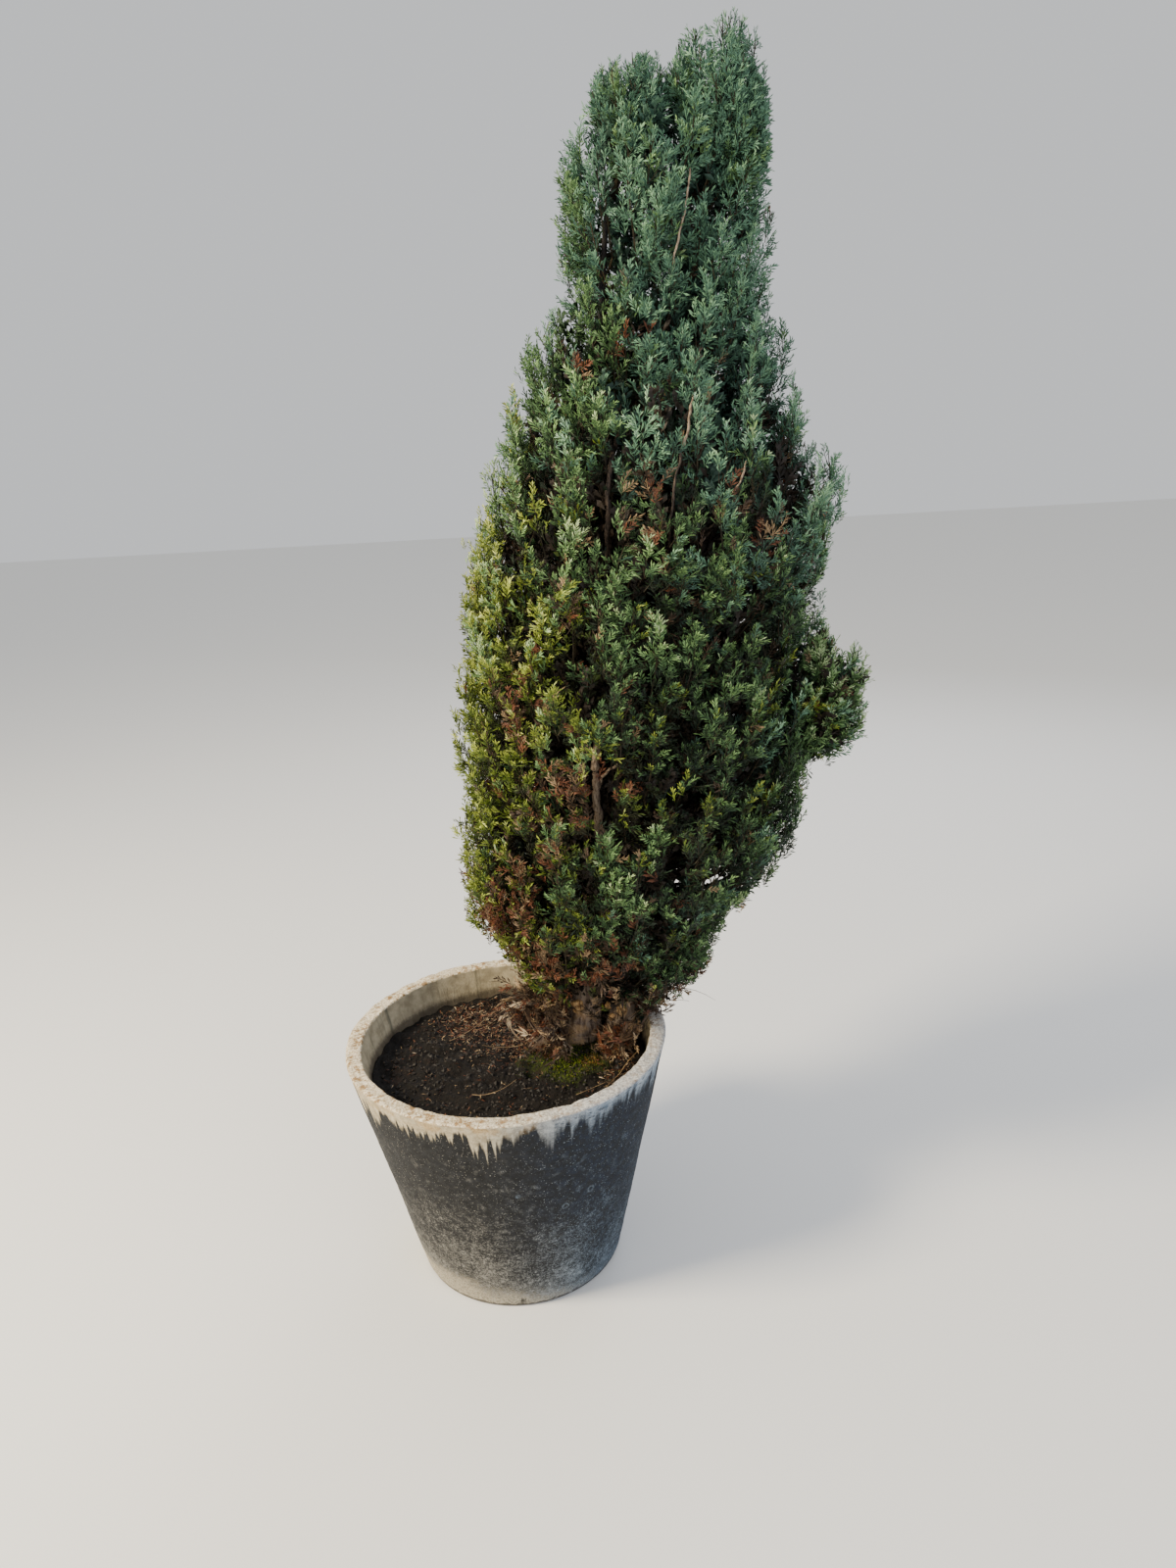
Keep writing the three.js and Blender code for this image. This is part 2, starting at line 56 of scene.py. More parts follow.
# %% Driving sizes
POT_HEIGHT = 0.475
POT_FOOT_RADIUS = 0.197
POT_RIM_RADIUS = 0.306
POT_WALL = 0.03
POT_FLOOR = 0.035
POT_EDGE_ROUND = 0.005
POT_SLOPE = (POT_RIM_RADIUS - POT_FOOT_RADIUS) / POT_HEIGHT
SOIL_LEVEL = 0.415

LEFT_STEM = [
    (0.146, 0.06, SOIL_LEVEL),
    (0.161, 0.062, 0.56),
    (0.19, 0.068, 0.83),
    (0.224, 0.07, 1.17),
    (0.25, 0.073, 1.48),
    (0.247, 0.075, 1.75),
    (0.262, 0.078, 1.9),
]
RIGHT_STEM = [
    (0.216, 0.052, SOIL_LEVEL),
    (0.23, 0.055, 0.48),
    (0.262, 0.06, 0.59),
    (0.302, 0.065, 0.87),
    (0.336, 0.068, 1.19),
    (0.364, 0.07, 1.47),
    (0.386, 0.072, 1.61),
    (0.372, 0.075, 1.79),
    (0.394, 0.078, 1.9),
]
FLARE_HEIGHT = 0.045

CROWN_MIDDLE_Y = 0.08
CROWN_BOTTOM = 0.43
CROWN_TOP = 2.06
SLENDER_FROM = 1.5

# How far the crown reaches to the left and to the right, as height and x
LEFT_REACH = [
    (CROWN_BOTTOM, 0.112), (0.55, 0.045), (0.635, -0.007), (0.73, -0.074),
    (0.875, -0.067), (1.045, -0.051), (1.085, -0.063), (1.19, -0.038),
    (1.35, -0.02), (1.44, 0.015), (1.51, 0.042), (1.66, 0.084),
    (1.74, 0.141), (1.79, 0.172), (1.99, 0.184), (CROWN_TOP, 0.236),
]
RIGHT_REACH = [
    (CROWN_BOTTOM, 0.268), (0.49, 0.305), (0.56, 0.4), (0.66, 0.435),
    (0.72, 0.465), (0.8, 0.55), (0.9, 0.58), (1.22, 0.603),
    (1.36, 0.617), (1.48, 0.65), (1.565, 0.588), (1.66, 0.557),
    (1.79, 0.526), (1.99, 0.522), (CROWN_TOP, 0.514),
]

# The crown's depth as a share of its width, as height and share
DEPTH_SHARE = [(SLENDER_FROM, 0.88), (CROWN_TOP, 0.6)]

# Rounded blocks for the side arm and the two leaders, as middles and radii
BLOCKS = {
    "side_arm": ((0.59, 0.066, 1.098), (0.104, 0.092, 0.122)),
    "left_leader": ((0.305, 0.08, 2.0), (0.072, 0.076, 0.124)),
    "right_leader": ((0.44, 0.08, 2.0), (0.08, 0.084, 0.168)),
}
BLOCK_ROUNDNESS = 2.6

# Rows of plumes, where the solids have their blades
FIRST_ROW = 0.545
ROW_RISE = 0.082
ROW_PLAY = 0.5
PLUME_SPACING = 0.084
BEARING_PLAY = 0.4
PLUME_LENGTH = 0.17
PLUME_LENGTH_AT_TOP = 0.13
PLUME_LEAN = math.radians(27)
PLUME_SETBACKS = (-0.03, 0.0, 0.07)
PLUMES_ON_A_BLOCK = 16
SLOPE_SPAN = 0.06
GOLDEN_ANGLE = math.pi * (3 - math.sqrt(5))
print("pot", POT_HEIGHT, "m high and", 2 * POT_RIM_RADIUS, "m across")

# %% [markdown]
# ## Camera
# The joints between the square paving slabs gave the photograph's camera. It is made first,
# because every later choice is looked at through it.

# %% Camera
CAMERA_PLACE = (0.18221, -1.92636, 1.60182)
CAMERA_PITCH = math.radians(18.2997)
CAMERA_ROLL = math.radians(-3.1367)
CAMERA_LENS = 26.083
CAMERA_SENSOR = 36.0


def add_camera():
    """Pitches the camera down and rolls it, from level along +Y."""
    camera = bpy.data.objects.new("camera", bpy.data.cameras.new("camera"))
    camera.data.lens = CAMERA_LENS
    camera.data.sensor_width = CAMERA_SENSOR
    turn = Matrix.Rotation(math.pi / 2 - CAMERA_PITCH, 4, "X") @ Matrix.Rotation(CAMERA_ROLL, 4, "Z")
    camera.matrix_world = Matrix.Translation(CAMERA_PLACE) @ turn
    bpy.context.scene.collection.objects.link(camera)
    bpy.context.scene.camera = camera


add_camera()
print("camera at", CAMERA_PLACE)

# %% [markdown]
# ## Small tools for arrays
# A shape here is worked out as whole arrays, because a loop over points is slow. Unit vectors,
# turns about an axis and smooth noise are needed by nearly every piece, so they come first.

# %% Array tools
STREAM_FACTOR = 16807
STREAM_PRIME = 2147483647


def unit(vectors):
    """Each vector divided by its own length."""
    return vectors / np.maximum(np.linalg.norm(vectors, axis=-1, keepdims=True), 1e-12)


def turned(vectors, axes, angles):
    """Vectors turned about unit axes: v cos a + (axis x v) sin a + axis (axis . v)(1 - cos a)."""
    c = np.cos(angles)[..., None]
    s = np.sin(angles)[..., None]
    along = (axes * vectors).sum(-1, keepdims=True)
    return vectors * c + np.cross(axes, vectors) * s + axes * along * (1 - c)


def square_to(vectors, axes):
    """The part of each vector that is square to its unit axis, as a unit vector."""
    return unit(vectors - axes * (vectors * axes).sum(-1, keepdims=True))


def round_axis(radius, angle, height):
    """Points at radii, angles and heights round the Z axis."""
    return np.stack(np.broadcast_arrays(radius * np.cos(angle), radius * np.sin(angle), height), -1)


def leaned(first, second, angle):
    """Directions at an angle from the first towards the second: first cos a + second sin a."""
    return first * np.cos(angle)[..., None] + second * np.sin(angle)[..., None]


def at_height(route, heights):
    """The points of a rising route at heights."""
    return np.stack([np.interp(heights, route[:, 2], route[:, k]) for k in range(3)], 1)


def waves(points, size, seed, count=24):
    """Smooth noise near -1 to 1: a sum of plane waves about size long."""
    chance = np.random.default_rng(seed)
    directions = unit(chance.normal(size=(count, 3)))
    pitch = 2 * math.pi / (size * chance.uniform(0.6, 1.6, count))
    phase = chance.uniform(0, 2 * math.pi, count)
    flat = np.asarray(points).reshape(-1, 3)
    total = np.sin(flat @ (directions * pitch[:, None]).T + phase).sum(1)
    return (total / math.sqrt(count)).reshape(np.asarray(points).shape[:-1])


def smooth_step(value, low, high):
    """0 below low, 1 above high, and 3 t t - 2 t t t between them."""
    t = np.clip((value - low) / (high - low), 0, 1)
    return t * t * (3 - 2 * t)


def stream(seed, count):
    """The solids' own draws from 0 to 1: each state is the last times a factor, modulo a prime."""
    numbers = []
    state = seed
    for _ in range(count):
        state = state * STREAM_FACTOR % STREAM_PRIME
        numbers.append(state / STREAM_PRIME)
    return np.array(numbers)


print("+X turned a quarter about +Z:", turned(np.eye(3)[0], np.eye(3)[2], math.pi / 2).round(3))

# %% [markdown]
# ## Small tools for meshes
# A mesh is an array of points and an array of faces that name their corners by number. Whole
# arrays go in at once. Most pieces are a grid of points joined into a skin, or tubes along routes.

# %% Mesh tools
def add_piece(name, points, faces, finish, slot, smooth=False):
    """A mesh piece from arrays of points and faces, on the plant's one body."""
    points = np.asarray(points, np.float32).reshape(-1, 3)
    faces = np.asarray(faces, np.int32)
    count, corners = faces.shape
    mesh = bpy.data.meshes.new(name)
    mesh.vertices.add(len(points))
    mesh.vertices.foreach_set("co", points.ravel())
    mesh.loops.add(count * corners)
    mesh.loops.foreach_set("vertex_index", faces.ravel())
    mesh.polygons.add(count)
    mesh.polygons.foreach_set("loop_start", np.arange(count, dtype=np.int32) * corners)
    mesh.polygons.foreach_set("use_smooth", np.full(count, smooth))
    mesh.update(calc_edges=True)
    mesh.validate()
    mesh.materials.append(finish)
    piece = bpy.data.objects.new(name, mesh)
    bpy.context.scene.collection.objects.link(piece)
    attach(piece, "root")
    print(name, "has", count * (corners - 2), "triangles")
    return piece


def grid_faces(rows, columns):
    """Four-sided faces of a grid of points whose columns join into a ring."""
    row, column = np.meshgrid(np.arange(rows - 1), np.arange(columns), indexing="ij")
    beside = (column + 1) % columns
    corners = [row * columns + column, row * columns + beside,
               (row + 1) * columns + beside, (row + 1) * columns + column]
    return np.stack([corner.ravel() for corner in corners], 1)


def tube_faces(sides, rings):
    """Triangles of a closed tube: a point, its rings and a last point."""
    ring, side = np.meshgrid(np.arange(rings - 1), np.arange(sides), indexing="ij")
    here = (1 + ring * sides + side).ravel()
    beside = (1 + ring * sides + (side + 1) % sides).ravel()
    walls = np.concatenate([np.stack([here, beside, beside + sides], 1),
                            np.stack([here, beside + sides, here + sides], 1)])
    around = np.arange(sides)
    after = (around + 1) % sides
    last = 1 + (rings - 1) * sides
    foot = np.stack([np.zeros_like(around), 1 + after, 1 + around], 1)
    head = np.stack([np.full_like(around, last + sides), last + around, last + after], 1)
    return np.concatenate([walls, foot, head])


def many_tubes(routes, radii, sides):
    """Closed tubes from routes (tube, ring, 3) and radii (tube, ring)."""
    tubes, rings, _ = routes.shape
    tangent = unit(np.gradient(routes, axis=1))
    seed = np.where(np.abs(tangent[:, :1, 2:]) < 0.9, [[[0.0, 0.0, 1.0]]], [[[1.0, 0.0, 0.0]]])
    first = square_to(np.broadcast_to(seed, tangent.shape), tangent)
    second = np.cross(tangent, first)
    angle = np.arange(sides) / sides * 2 * math.pi
    circle = leaned(first[:, :, None], second[:, :, None], angle)
    walls = routes[:, :, None] + circle * radii[:, :, None, None]
    foot = routes[:, :1] - tangent[:, :1] * radii[:, :1, None] * 0.5
    head = routes[:, -1:] + tangent[:, -1:] * radii[:, -1:, None]
    points = np.concatenate([foot, walls.reshape(tubes, rings * sides, 3), head], 1)
    faces = tube_faces(sides, rings)[None] + (np.arange(tubes) * points.shape[1])[:, None, None]
    return points.reshape(-1, 3), faces.reshape(-1, 3)


def smooth_route(stations, count):
    """Points along a Catmull-Rom curve, its knots spaced by the roots of their chords."""
    knots = np.array(stations, float)
    knots = np.vstack([2 * knots[0] - knots[1], knots, 2 * knots[-1] - knots[-2]])
    steps = np.sqrt(np.linalg.norm(np.diff(knots, axis=0), axis=1))
    time = np.concatenate([[0], np.cumsum(steps)])
    at = np.linspace(time[1], time[-2], count)
    span = np.clip(np.searchsorted(time, at, side="right") - 1, 1, len(knots) - 3)

    def blend(a, b, ta, tb):
        share = ((at - ta) / (tb - ta))[:, None]
        return a * (1 - share) + b * share

    t0, t1, t2, t3 = (time[span + k] for k in (-1, 0, 1, 2))
    p0, p1, p2, p3 = (knots[span + k] for k in (-1, 0, 1, 2))
    a1, a2, a3 = blend(p0, p1, t0, t1), blend(p1, p2, t1, t2), blend(p2, p3, t2, t3)
    return blend(blend(a1, a2, t0, t2), blend(a2, a3, t1, t3), t1, t2)


def join(parts):
    """Points and faces of several meshes as one."""
    points, faces = zip(*parts)
    offsets = np.cumsum([0] + [len(part) for part in points])
    return np.concatenate(points), np.concatenate([part + n for part, n in zip(faces, offsets)])


print("a tube of 4 sides and 6 rings has", len(tube_faces(4, 6)), "triangles")

# %% [markdown]
# ## Shader tools
# A finish is a small tree of nodes. Wiring them by hand takes three lines a node and hides the
# formula, so a socket is wrapped in a class on which sums can be written.

# %% Shader tools
class Wire:
    """A socket on which sums add Math nodes."""

    def __init__(self, finish, socket):
        self.finish = finish
        self.socket = socket

    def sum(self, operation, *values):
        """One Math node."""
        return self.finish.node("ShaderNodeMath", {"operation": operation}, dict(enumerate(values)))

    def __add__(self, other):
        return self.sum("ADD", self, other)

    def __radd__(self, other):
        return self.sum("ADD", other, self)

    def __sub__(self, other):
        return self.sum("SUBTRACT", self, other)

    def __rsub__(self, other):
        return self.sum("SUBTRACT", other, self)

    def __mul__(self, other):
        return self.sum("MULTIPLY", self, other)

    def __truediv__(self, other):
        return self.sum("DIVIDE", self, other)

    def __pow__(self, other):
        return self.sum("POWER", self, other)

    def most(self, other):
        """The larger of two values."""
        return self.sum("MAXIMUM", self, other)

    def least(self, other):
        """The smaller of two values."""
        return self.sum("MINIMUM", self, other)

    def size(self):
        """The value without its sign."""
        return self.sum("ABSOLUTE", self)

    def step(self, low, high):
        """0 below low, 1 above high and a smooth step between."""
        sockets = {"Value": self, "From Min": low, "From Max": high}
        return self.finish.node("ShaderNodeMapRange", {"interpolation_type": "SMOOTHSTEP"}, sockets)


class Finish:
    """A material with its shader, and the one method that adds nodes."""

    def __init__(self, name, gloss=0.5):
        self.material = bpy.data.materials.new(name)
        self.material.use_nodes = True
        self.tree = self.material.node_tree
        self.shader = self.tree.nodes["Principled BSDF"]
        self.shader.inputs["Specular IOR Level"].default_value = gloss
        self.place = self.node("ShaderNodeTexCoord", output="Object")

    def fill(self, target, value):
        """Feeds a socket a wire, a colour code, a vector or a number."""
        if isinstance(value, Wire):
            self.tree.links.new(value.socket, target)
        elif isinstance(value, str):
            target.default_value = (*paint(value), 1.0)
        else:
            target.default_value = value

    def node(self, kind, settings=None, sockets=None, output=0):
        """Adds a node, sets it, feeds it and gives the wire of one output."""
        made = self.tree.nodes.new(kind)
        for key, value in (settings or {}).items():
            setattr(made, key, value)
        for key, value in (sockets or {}).items():
            self.fill(made.inputs[key], value)
        return Wire(self, made.outputs[output])

    def noise(self, scale, detail=3.0, roughness=0.55, place=None, seed=0.0):
        """Noise with so many features to the metre, another for each seed."""
        sockets = {"Vector": place or self.place, "W": seed, "Scale": scale,
                   "Detail": detail, "Roughness": roughness}
        return self.node("ShaderNodeTexNoise", {"noise_dimensions": "4D"}, sockets)

    def cells(self, scale):
        """Distance from the nearest of scattered points."""
        return self.node("ShaderNodeTexVoronoi", {}, {"Vector": self.place, "Scale": scale}, "Distance")

    def mix(self, factor, first, second):
        """The first colour at 0, the second at 1."""
        sockets = {0: factor, 6: first, 7: second}
        return self.node("ShaderNodeMix", {"data_type": "RGBA"}, sockets, 2)

    def vector(self, operation, output, *values):
        """One Vector Math node."""
        sockets = dict(enumerate(values))
        return self.node("ShaderNodeVectorMath", {"operation": operation}, sockets, output)

    def scaled(self, vector, factors):
        """A vector times a factor on each axis."""
        return self.vector("MULTIPLY", 0, vector, factors)

    def away(self, point):
        """Distance in metres from a named point."""
        return self.vector("DISTANCE", "Value", self.place, tuple(point))

    def dot(self, direction):
        """Distance along a direction from the origin."""
        return self.vector("DOT_PRODUCT", "Value", self.place, direction.tolist())

    def parts(self):
        """The x, y and z of a point in metres."""
        split = self.tree.nodes.new("ShaderNodeSeparateXYZ")
        self.tree.links.new(self.place.socket, split.inputs[0])
        return [Wire(self, output) for output in split.outputs]

    def done(self, colour, roughness, relief=None, distance=0.0, strength=0.9):
        """The material, fed with its colour, its roughness and a relief of a distance in metres."""
        self.fill(self.shader.inputs["Base Color"], colour)
        self.fill(self.shader.inputs["Roughness"], roughness)
        if relief:
            sockets = {"Height": relief, "Distance": distance, "Strength": strength}
            self.fill(self.shader.inputs["Normal"], self.node("ShaderNodeBump", {}, sockets))
        return self.material


def paint(code):
    """A screen colour such as #3a4246 as linear red, green and blue."""
    parts = [int(code[k:k + 2], 16) / 255 for k in (1, 3, 5)]
    return tuple(p / 12.92 if p <= 0.04045 else ((p + 0.055) / 1.055) ** 2.4 for p in parts)


print("mid grey #808080 is", round(paint("#808080")[0], 3), "in a shader")

# %% [markdown]
# ## Pot
# The pot is cast concrete, a straight taper with a thick wall. It could be a cone with a modifier,
# but a profile turned round an axis gives the foot, wall, rim, inside and floor in one closed
# surface with rounded edges. Noise pushes it in and out a little and wears the rim down.

# %% Pot shape
POT_AROUND = 220
POT_UP = 110
POT_DOWN = 60
POT_ACROSS = 8
POT_POLE = 0.001
POT_WOBBLE = 0.0009
POT_SPECKLE = 0.0003
POT_RIM_WEAR = 0.0013
POT_RIM_PITS = 0.0008
POT_RIM_GAIN = 0.001


def rounded_edge(radius, height, start):
    """A quarter circle about a radius and a height, from an angle."""
    angle = start + np.linspace(0, math.pi / 2, 6)
    return np.stack([radius + POT_EDGE_ROUND * np.cos(angle), height + POT_EDGE_ROUND * np.sin(angle)], 1)


def pot_profile():
    """Radius and height: out under the foot, up, over the rim, down inside and in."""
    edge = POT_EDGE_ROUND
    top = POT_HEIGHT - edge
    inner = POT_RIM_RADIUS - POT_WALL
    low = (POT_FOOT_RADIUS + POT_SLOPE * edge, edge)
    high = (POT_FOOT_RADIUS + POT_SLOPE * top, top)
    corner = (inner - POT_SLOPE * (top - POT_FLOOR), POT_FLOOR)
    stretches = [
        np.linspace((POT_POLE, 0), (POT_FOOT_RADIUS - edge, 0), POT_ACROSS),
        rounded_edge(POT_FOOT_RADIUS - edge, edge, -math.pi / 2),
        np.linspace(low, high, POT_UP),
        rounded_edge(POT_RIM_RADIUS - edge, top, 0),
        np.linspace((POT_RIM_RADIUS - edge, POT_HEIGHT), (inner + edge, POT_HEIGHT), POT_ACROSS),
        rounded_edge(inner + edge, top, math.pi / 2),
        np.linspace((inner, top), corner, POT_DOWN),
        np.linspace(corner, (POT_POLE, POT_FLOOR), POT_ACROSS),
    ]
    return np.concatenate([stretches[0]] + [stretch[1:] for stretch in stretches[1:]])


def pot_surface():
    """The profile turned round the axis, with a slow wobble and a worn rim."""
    radius, height = pot_profile().T[..., None]
    angle = np.arange(POT_AROUND) / POT_AROUND * 2 * math.pi
    points = round_axis(radius, angle, height)
    outward = round_axis(1, angle, 0 * height)
    above_foot = smooth_step(points[..., 2], 0.0, 0.02) * (radius > 0.1)
    slow = POT_WOBBLE * waves(points, 0.16, 3) + POT_SPECKLE * waves(points, 0.02, 4, 40)
    points = points + outward * (slow * above_foot)[..., None]
    near_rim = smooth_step(points[..., 2], POT_HEIGHT - 0.012, POT_HEIGHT - 0.002)
    pits = POT_RIM_PITS * np.maximum(waves(points, 0.008, 6, 40), 0)
    wear = POT_RIM_WEAR * waves(points, 0.028, 5, 40) - pits
    points[..., 2] += near_rim * np.minimum(wear, POT_RIM_GAIN)
    return points


POT_SHAPE = pot_surface()
print(len(POT_SHAPE), "rings of points")

# %% [markdown]
# ## How the pot has weathered
# A dark film has worn through to bare grey, most of all low down, and splashes have faded the
# foot. Under the rim hangs a band of lime that ends in drips. Each ground is painted warm with
# sunlight on the left and bluish with shade on the right, so it has four tones. A picture wrapped
# round the wall would bring its own light and a seam, so each stain is a short function of the
# height, the side and noise.

# %% Concrete and its tones
# Dark tones of each ground painted sunlit on the left and painted in blue shade on the right, then its light
# tones
POT_GROUNDS = {
    "film": ("#0d0d0e", "#030a14", "#212224", "#0e1c2f"),
    "bare": ("#5c5a55", "#3b4857", "#9a968c", "#788896"),
    "foot": ("#7b7361", "#454e57", "#bdb39d", "#838c93"),
    "lime": ("#9c8e72", "#5f7185", "#cfc2a4", "#a9b5c0"),
}

# Rings left by blisters, the ends of a crack, and a chip
BLISTERS = [(0.1476, -0.2122, 0.2679, 0.0065), (0.1008, -0.2342, 0.2525, 0.0055),
            (0.02, -0.26, 0.3, 0.0045)]
CRACK = ((0.178, -0.146, 0.143), (0.127, -0.157, 0.019))
CHIP = (0.0063, -0.2, 0.014)


class Concrete(Finish):
    """The pot's finish, with places and noises that its stains share."""

    def __init__(self):
        super().__init__("weathered_concrete", 0.3)
        self.x, self.y, self.z = self.parts()
        self.depth = POT_HEIGHT - self.z
        self.flat = self.scaled(self.place, (1.0, 1.0, 0.0))
        self.around = self.vector("NORMALIZE", 0, self.flat)
        # How far round to the right: where painted blue shade takes over from painted sunlight, and where
        # some stains gather or thin out
        self.right = self.x.step(-0.06, 0.17) * (1 - self.y.step(-0.05, 0.15) * 0.35)
        self.grain = self.noise(900, 2)
        self.fine = self.noise(260, 5, 0.72)
        self.coarse = self.noise(75, 4, 0.65, seed=11.0)
        self.cloud = self.noise(11, 4, 0.6)

    def painted_sun_and_shade(self, sunny, shaded):
        """A tone painted as sunlit on the left, another painted as blue shade on the right."""
        return self.mix(self.right, sunny, shaded)

    def ground(self, share, name):
        """A ground's dark and light tones, each painted sunlit and shaded, mixed by a share from 0 to 1."""
        tones = POT_GROUNDS[name]
        return self.mix(share, self.painted_sun_and_shade(*tones[:2]), self.painted_sun_and_shade(*tones[2:]))


print(len(POT_GROUNDS), "grounds")


# %% Film and foot
def worn_film(made):
    """The dark film, worn off in spots, scratches and smudges, most low down."""
    film = made.ground(made.coarse.step(0.35, 0.7), "film")
    bare = made.ground((made.grain * 0.5 + made.coarse * 0.5).step(0.35, 0.65), "bare")
    scratch = made.noise(130, 3, 0.6, made.scaled(made.place, (0.25, 0.25, 1.6)), 13.0)
    wear = made.fine * 0.8 + made.grain * 0.2 + (0.27 - made.z) * 0.72 - made.x * 0.1
    wear = wear + (made.cloud - 0.5) * 0.3 + (made.coarse - 0.5) * 0.22 + (scratch - 0.5) * 0.14
    wall = made.mix(wear.step(0.53, 0.8), film, bare)
    smudge = made.noise(55, 4, 0.65, seed=15.0).step(0.54, 0.7) * 0.26
    return made.mix(smudge * made.depth.step(0.06, 0.12), wall, bare)


def splashed_foot(made, wall):
    """The wall with its faded foot and a ragged dark band along its bottom edge."""
    foot = made.ground((made.fine + (made.grain - 0.5) * 0.5).step(0.35, 0.62), "foot")
    low = made.z + (made.cloud - 0.5) * 0.1 + (made.coarse - 0.5) * 0.07
    low = low + (made.fine - 0.5) * 0.06 + made.x * 0.16
    wall = made.mix(low.step(0.055, 0.01) * 0.9, wall, foot)
    bottom_band = 0.009 - made.z + (made.coarse - 0.5) * 0.03 + (made.fine - 0.5) * 0.012
    return made.mix(bottom_band.step(0.0, 0.003) * 0.75, wall, "#26211d")


# %% Grit and single marks
def pale_specks(made):
    """Where pale grit shows: two sizes of it, each in patches."""
    grit = made.noise(330, 1, 0.5, seed=12.0).step(0.66, 0.72) * made.noise(40, 2, seed=8.0).step(0.38, 0.58)
    dots = made.cells(260).step(0.24, 0.1) * made.noise(120, 1, seed=9.0).step(0.54, 0.6)
    return (grit * 0.65).most(dots * 0.8)


def crack_share(made):
    """1 near the line between the crack's ends, shifted by coarse noise."""
    top, end = (np.array(point) for point in CRACK)
    along = unit(end - top)
    side = np.cross(along, unit(top * [1, 1, 0]))
    share = made.dot(along) - float(top @ along)
    offset = (made.dot(side) - float(top @ side) + (made.coarse - 0.5) * 0.016).size()
    fade = share.step(float(np.linalg.norm(end - top)), 0.1)
    return offset.step(0.0026, 0.0006) * share.step(0.0, 0.02) * fade


def old_marks(made, wall):
    """The wall with its blisters, crack and chip."""
    for *middle, reach in BLISTERS:
        ring = (made.away(middle) + (made.fine - 0.5) * 0.004 - reach).size().step(0.0028, 0.0004)
        wall = made.mix(ring * (made.fine.step(0.35, 0.65) * 0.5), wall, "#7e8d9a")
    wall = made.mix(crack_share(made) * 0.75, wall, "#0d1218")
    chip = (made.away(CHIP) + (made.coarse - 0.5) * 0.03 + (made.fine - 0.5) * 0.01).step(0.008, 0.005)
    return made.mix(chip * 0.85, wall, "#1d1a18")


# %% Lime
def lime_share(made):
    """1 in the band under the rim, falling to 0 below its drips.

    A drip points down where noise round the wall crosses its middle: 1 - 6 |noise - 0.5|. Two
    such noises give wide and slim drips, and slower ones make some of them long.
    """
    pointed = 1 - ((made.noise(12, 1, 0.4, made.around, 1.0) - 0.5).size() * 6.0).least(1.0)
    slim = 1 - ((made.noise(27, 1, 0.4, made.around, 5.0) - 0.5).size() * 6.0).least(1.0)
    heavy = made.noise(4, 1, 0.5, made.around, 2.0).step(0.4, 0.62)
    often = made.noise(9, 1, 0.5, made.around, 3.0).step(0.4, 0.6)
    length = 0.018 + pointed * pointed * (0.008 + heavy * 0.06) + slim * (0.004 + often * 0.024)
    length = length + (made.noise(8, 1, 0.5, made.around, 4.0) - 0.5) * 0.04
    streak = made.noise(150, 3, 0.6, made.scaled(made.place, (1.0, 1.0, 0.08)), 17.0)
    fade = 0.004 + length * (0.26 + made.right * 0.6)
    ragged = (made.fine - 0.5) * 0.01 + (streak - 0.5) * 0.016
    return ((length - made.depth + ragged) / fade).step(0.0, 1.0)


def limed(made, wall, lime):
    """The wall with its lime, sooty spots on the right and an ochre ring on the left."""
    pale = made.ground((made.coarse * 0.6 + made.fine * 0.4).step(0.38, 0.62), "lime")
    spots = made.noise(60, 3, 0.6, made.scaled(made.place, (1.0, 1.0, 3.0)), 14.0).step(0.57, 0.64)
    pale = made.mix(spots * made.right * 0.8, pale, "#1e2a37")
    wall = made.mix(lime * 0.92, wall, pale)
    ring = (made.depth + (made.coarse - 0.5) * 0.03).step(0.03, 0.008)
    ring = ring * made.noise(26, 4, 0.6, seed=4.0).step(0.42, 0.6) * (1 - made.right)
    ochre = made.mix(made.fine.step(0.35, 0.65), "#94713c", "#c2a677")
    return made.mix(ring * 0.8, wall, ochre)


# %% Rim and inside
def rim_colour(made):
    """The rim: sand and pale lime, painted bluish as shade on the right, ochre lichen and dark flecks."""
    # Painted shade: the sand and lime turn bluish on the right
    low = made.mix(made.right * 0.7, "#a8946f", "#868d99")
    high = made.mix(made.right * 0.6, "#f0e5cc", "#c6ccd4")
    rim = made.mix(made.noise(200, 5, 0.75).step(0.38, 0.62), low, high)
    lichen = made.noise(70, 5, 0.75, seed=6.0).step(0.5, 0.58)
    rim = made.mix(lichen * (0.85 - made.right * 0.45), rim, "#84602f")
    return made.mix(made.noise(300, 2, seed=16.0).step(0.6, 0.68) * 0.7, rim, "#453b32")


def inside_colour(made):
    """The inner wall: sandy, with greenish stains and a dark band just above the soil."""
    sand = made.mix(made.noise(45, 5, 0.65, seed=7.0).step(0.3, 0.7), "#92866d", "#c2b598")
    stain = made.noise(9, 3, 0.6, made.around, 9.0).step(0.56, 0.66)
    wall = made.mix(stain * 0.7, sand, "#4b4d40")
    band_above_soil = (SOIL_LEVEL + 0.016 - made.z + (made.fine - 0.5) * 0.02).step(-0.004, 0.012)
    return made.mix(band_above_soil * 0.8, wall, "#3b3026")


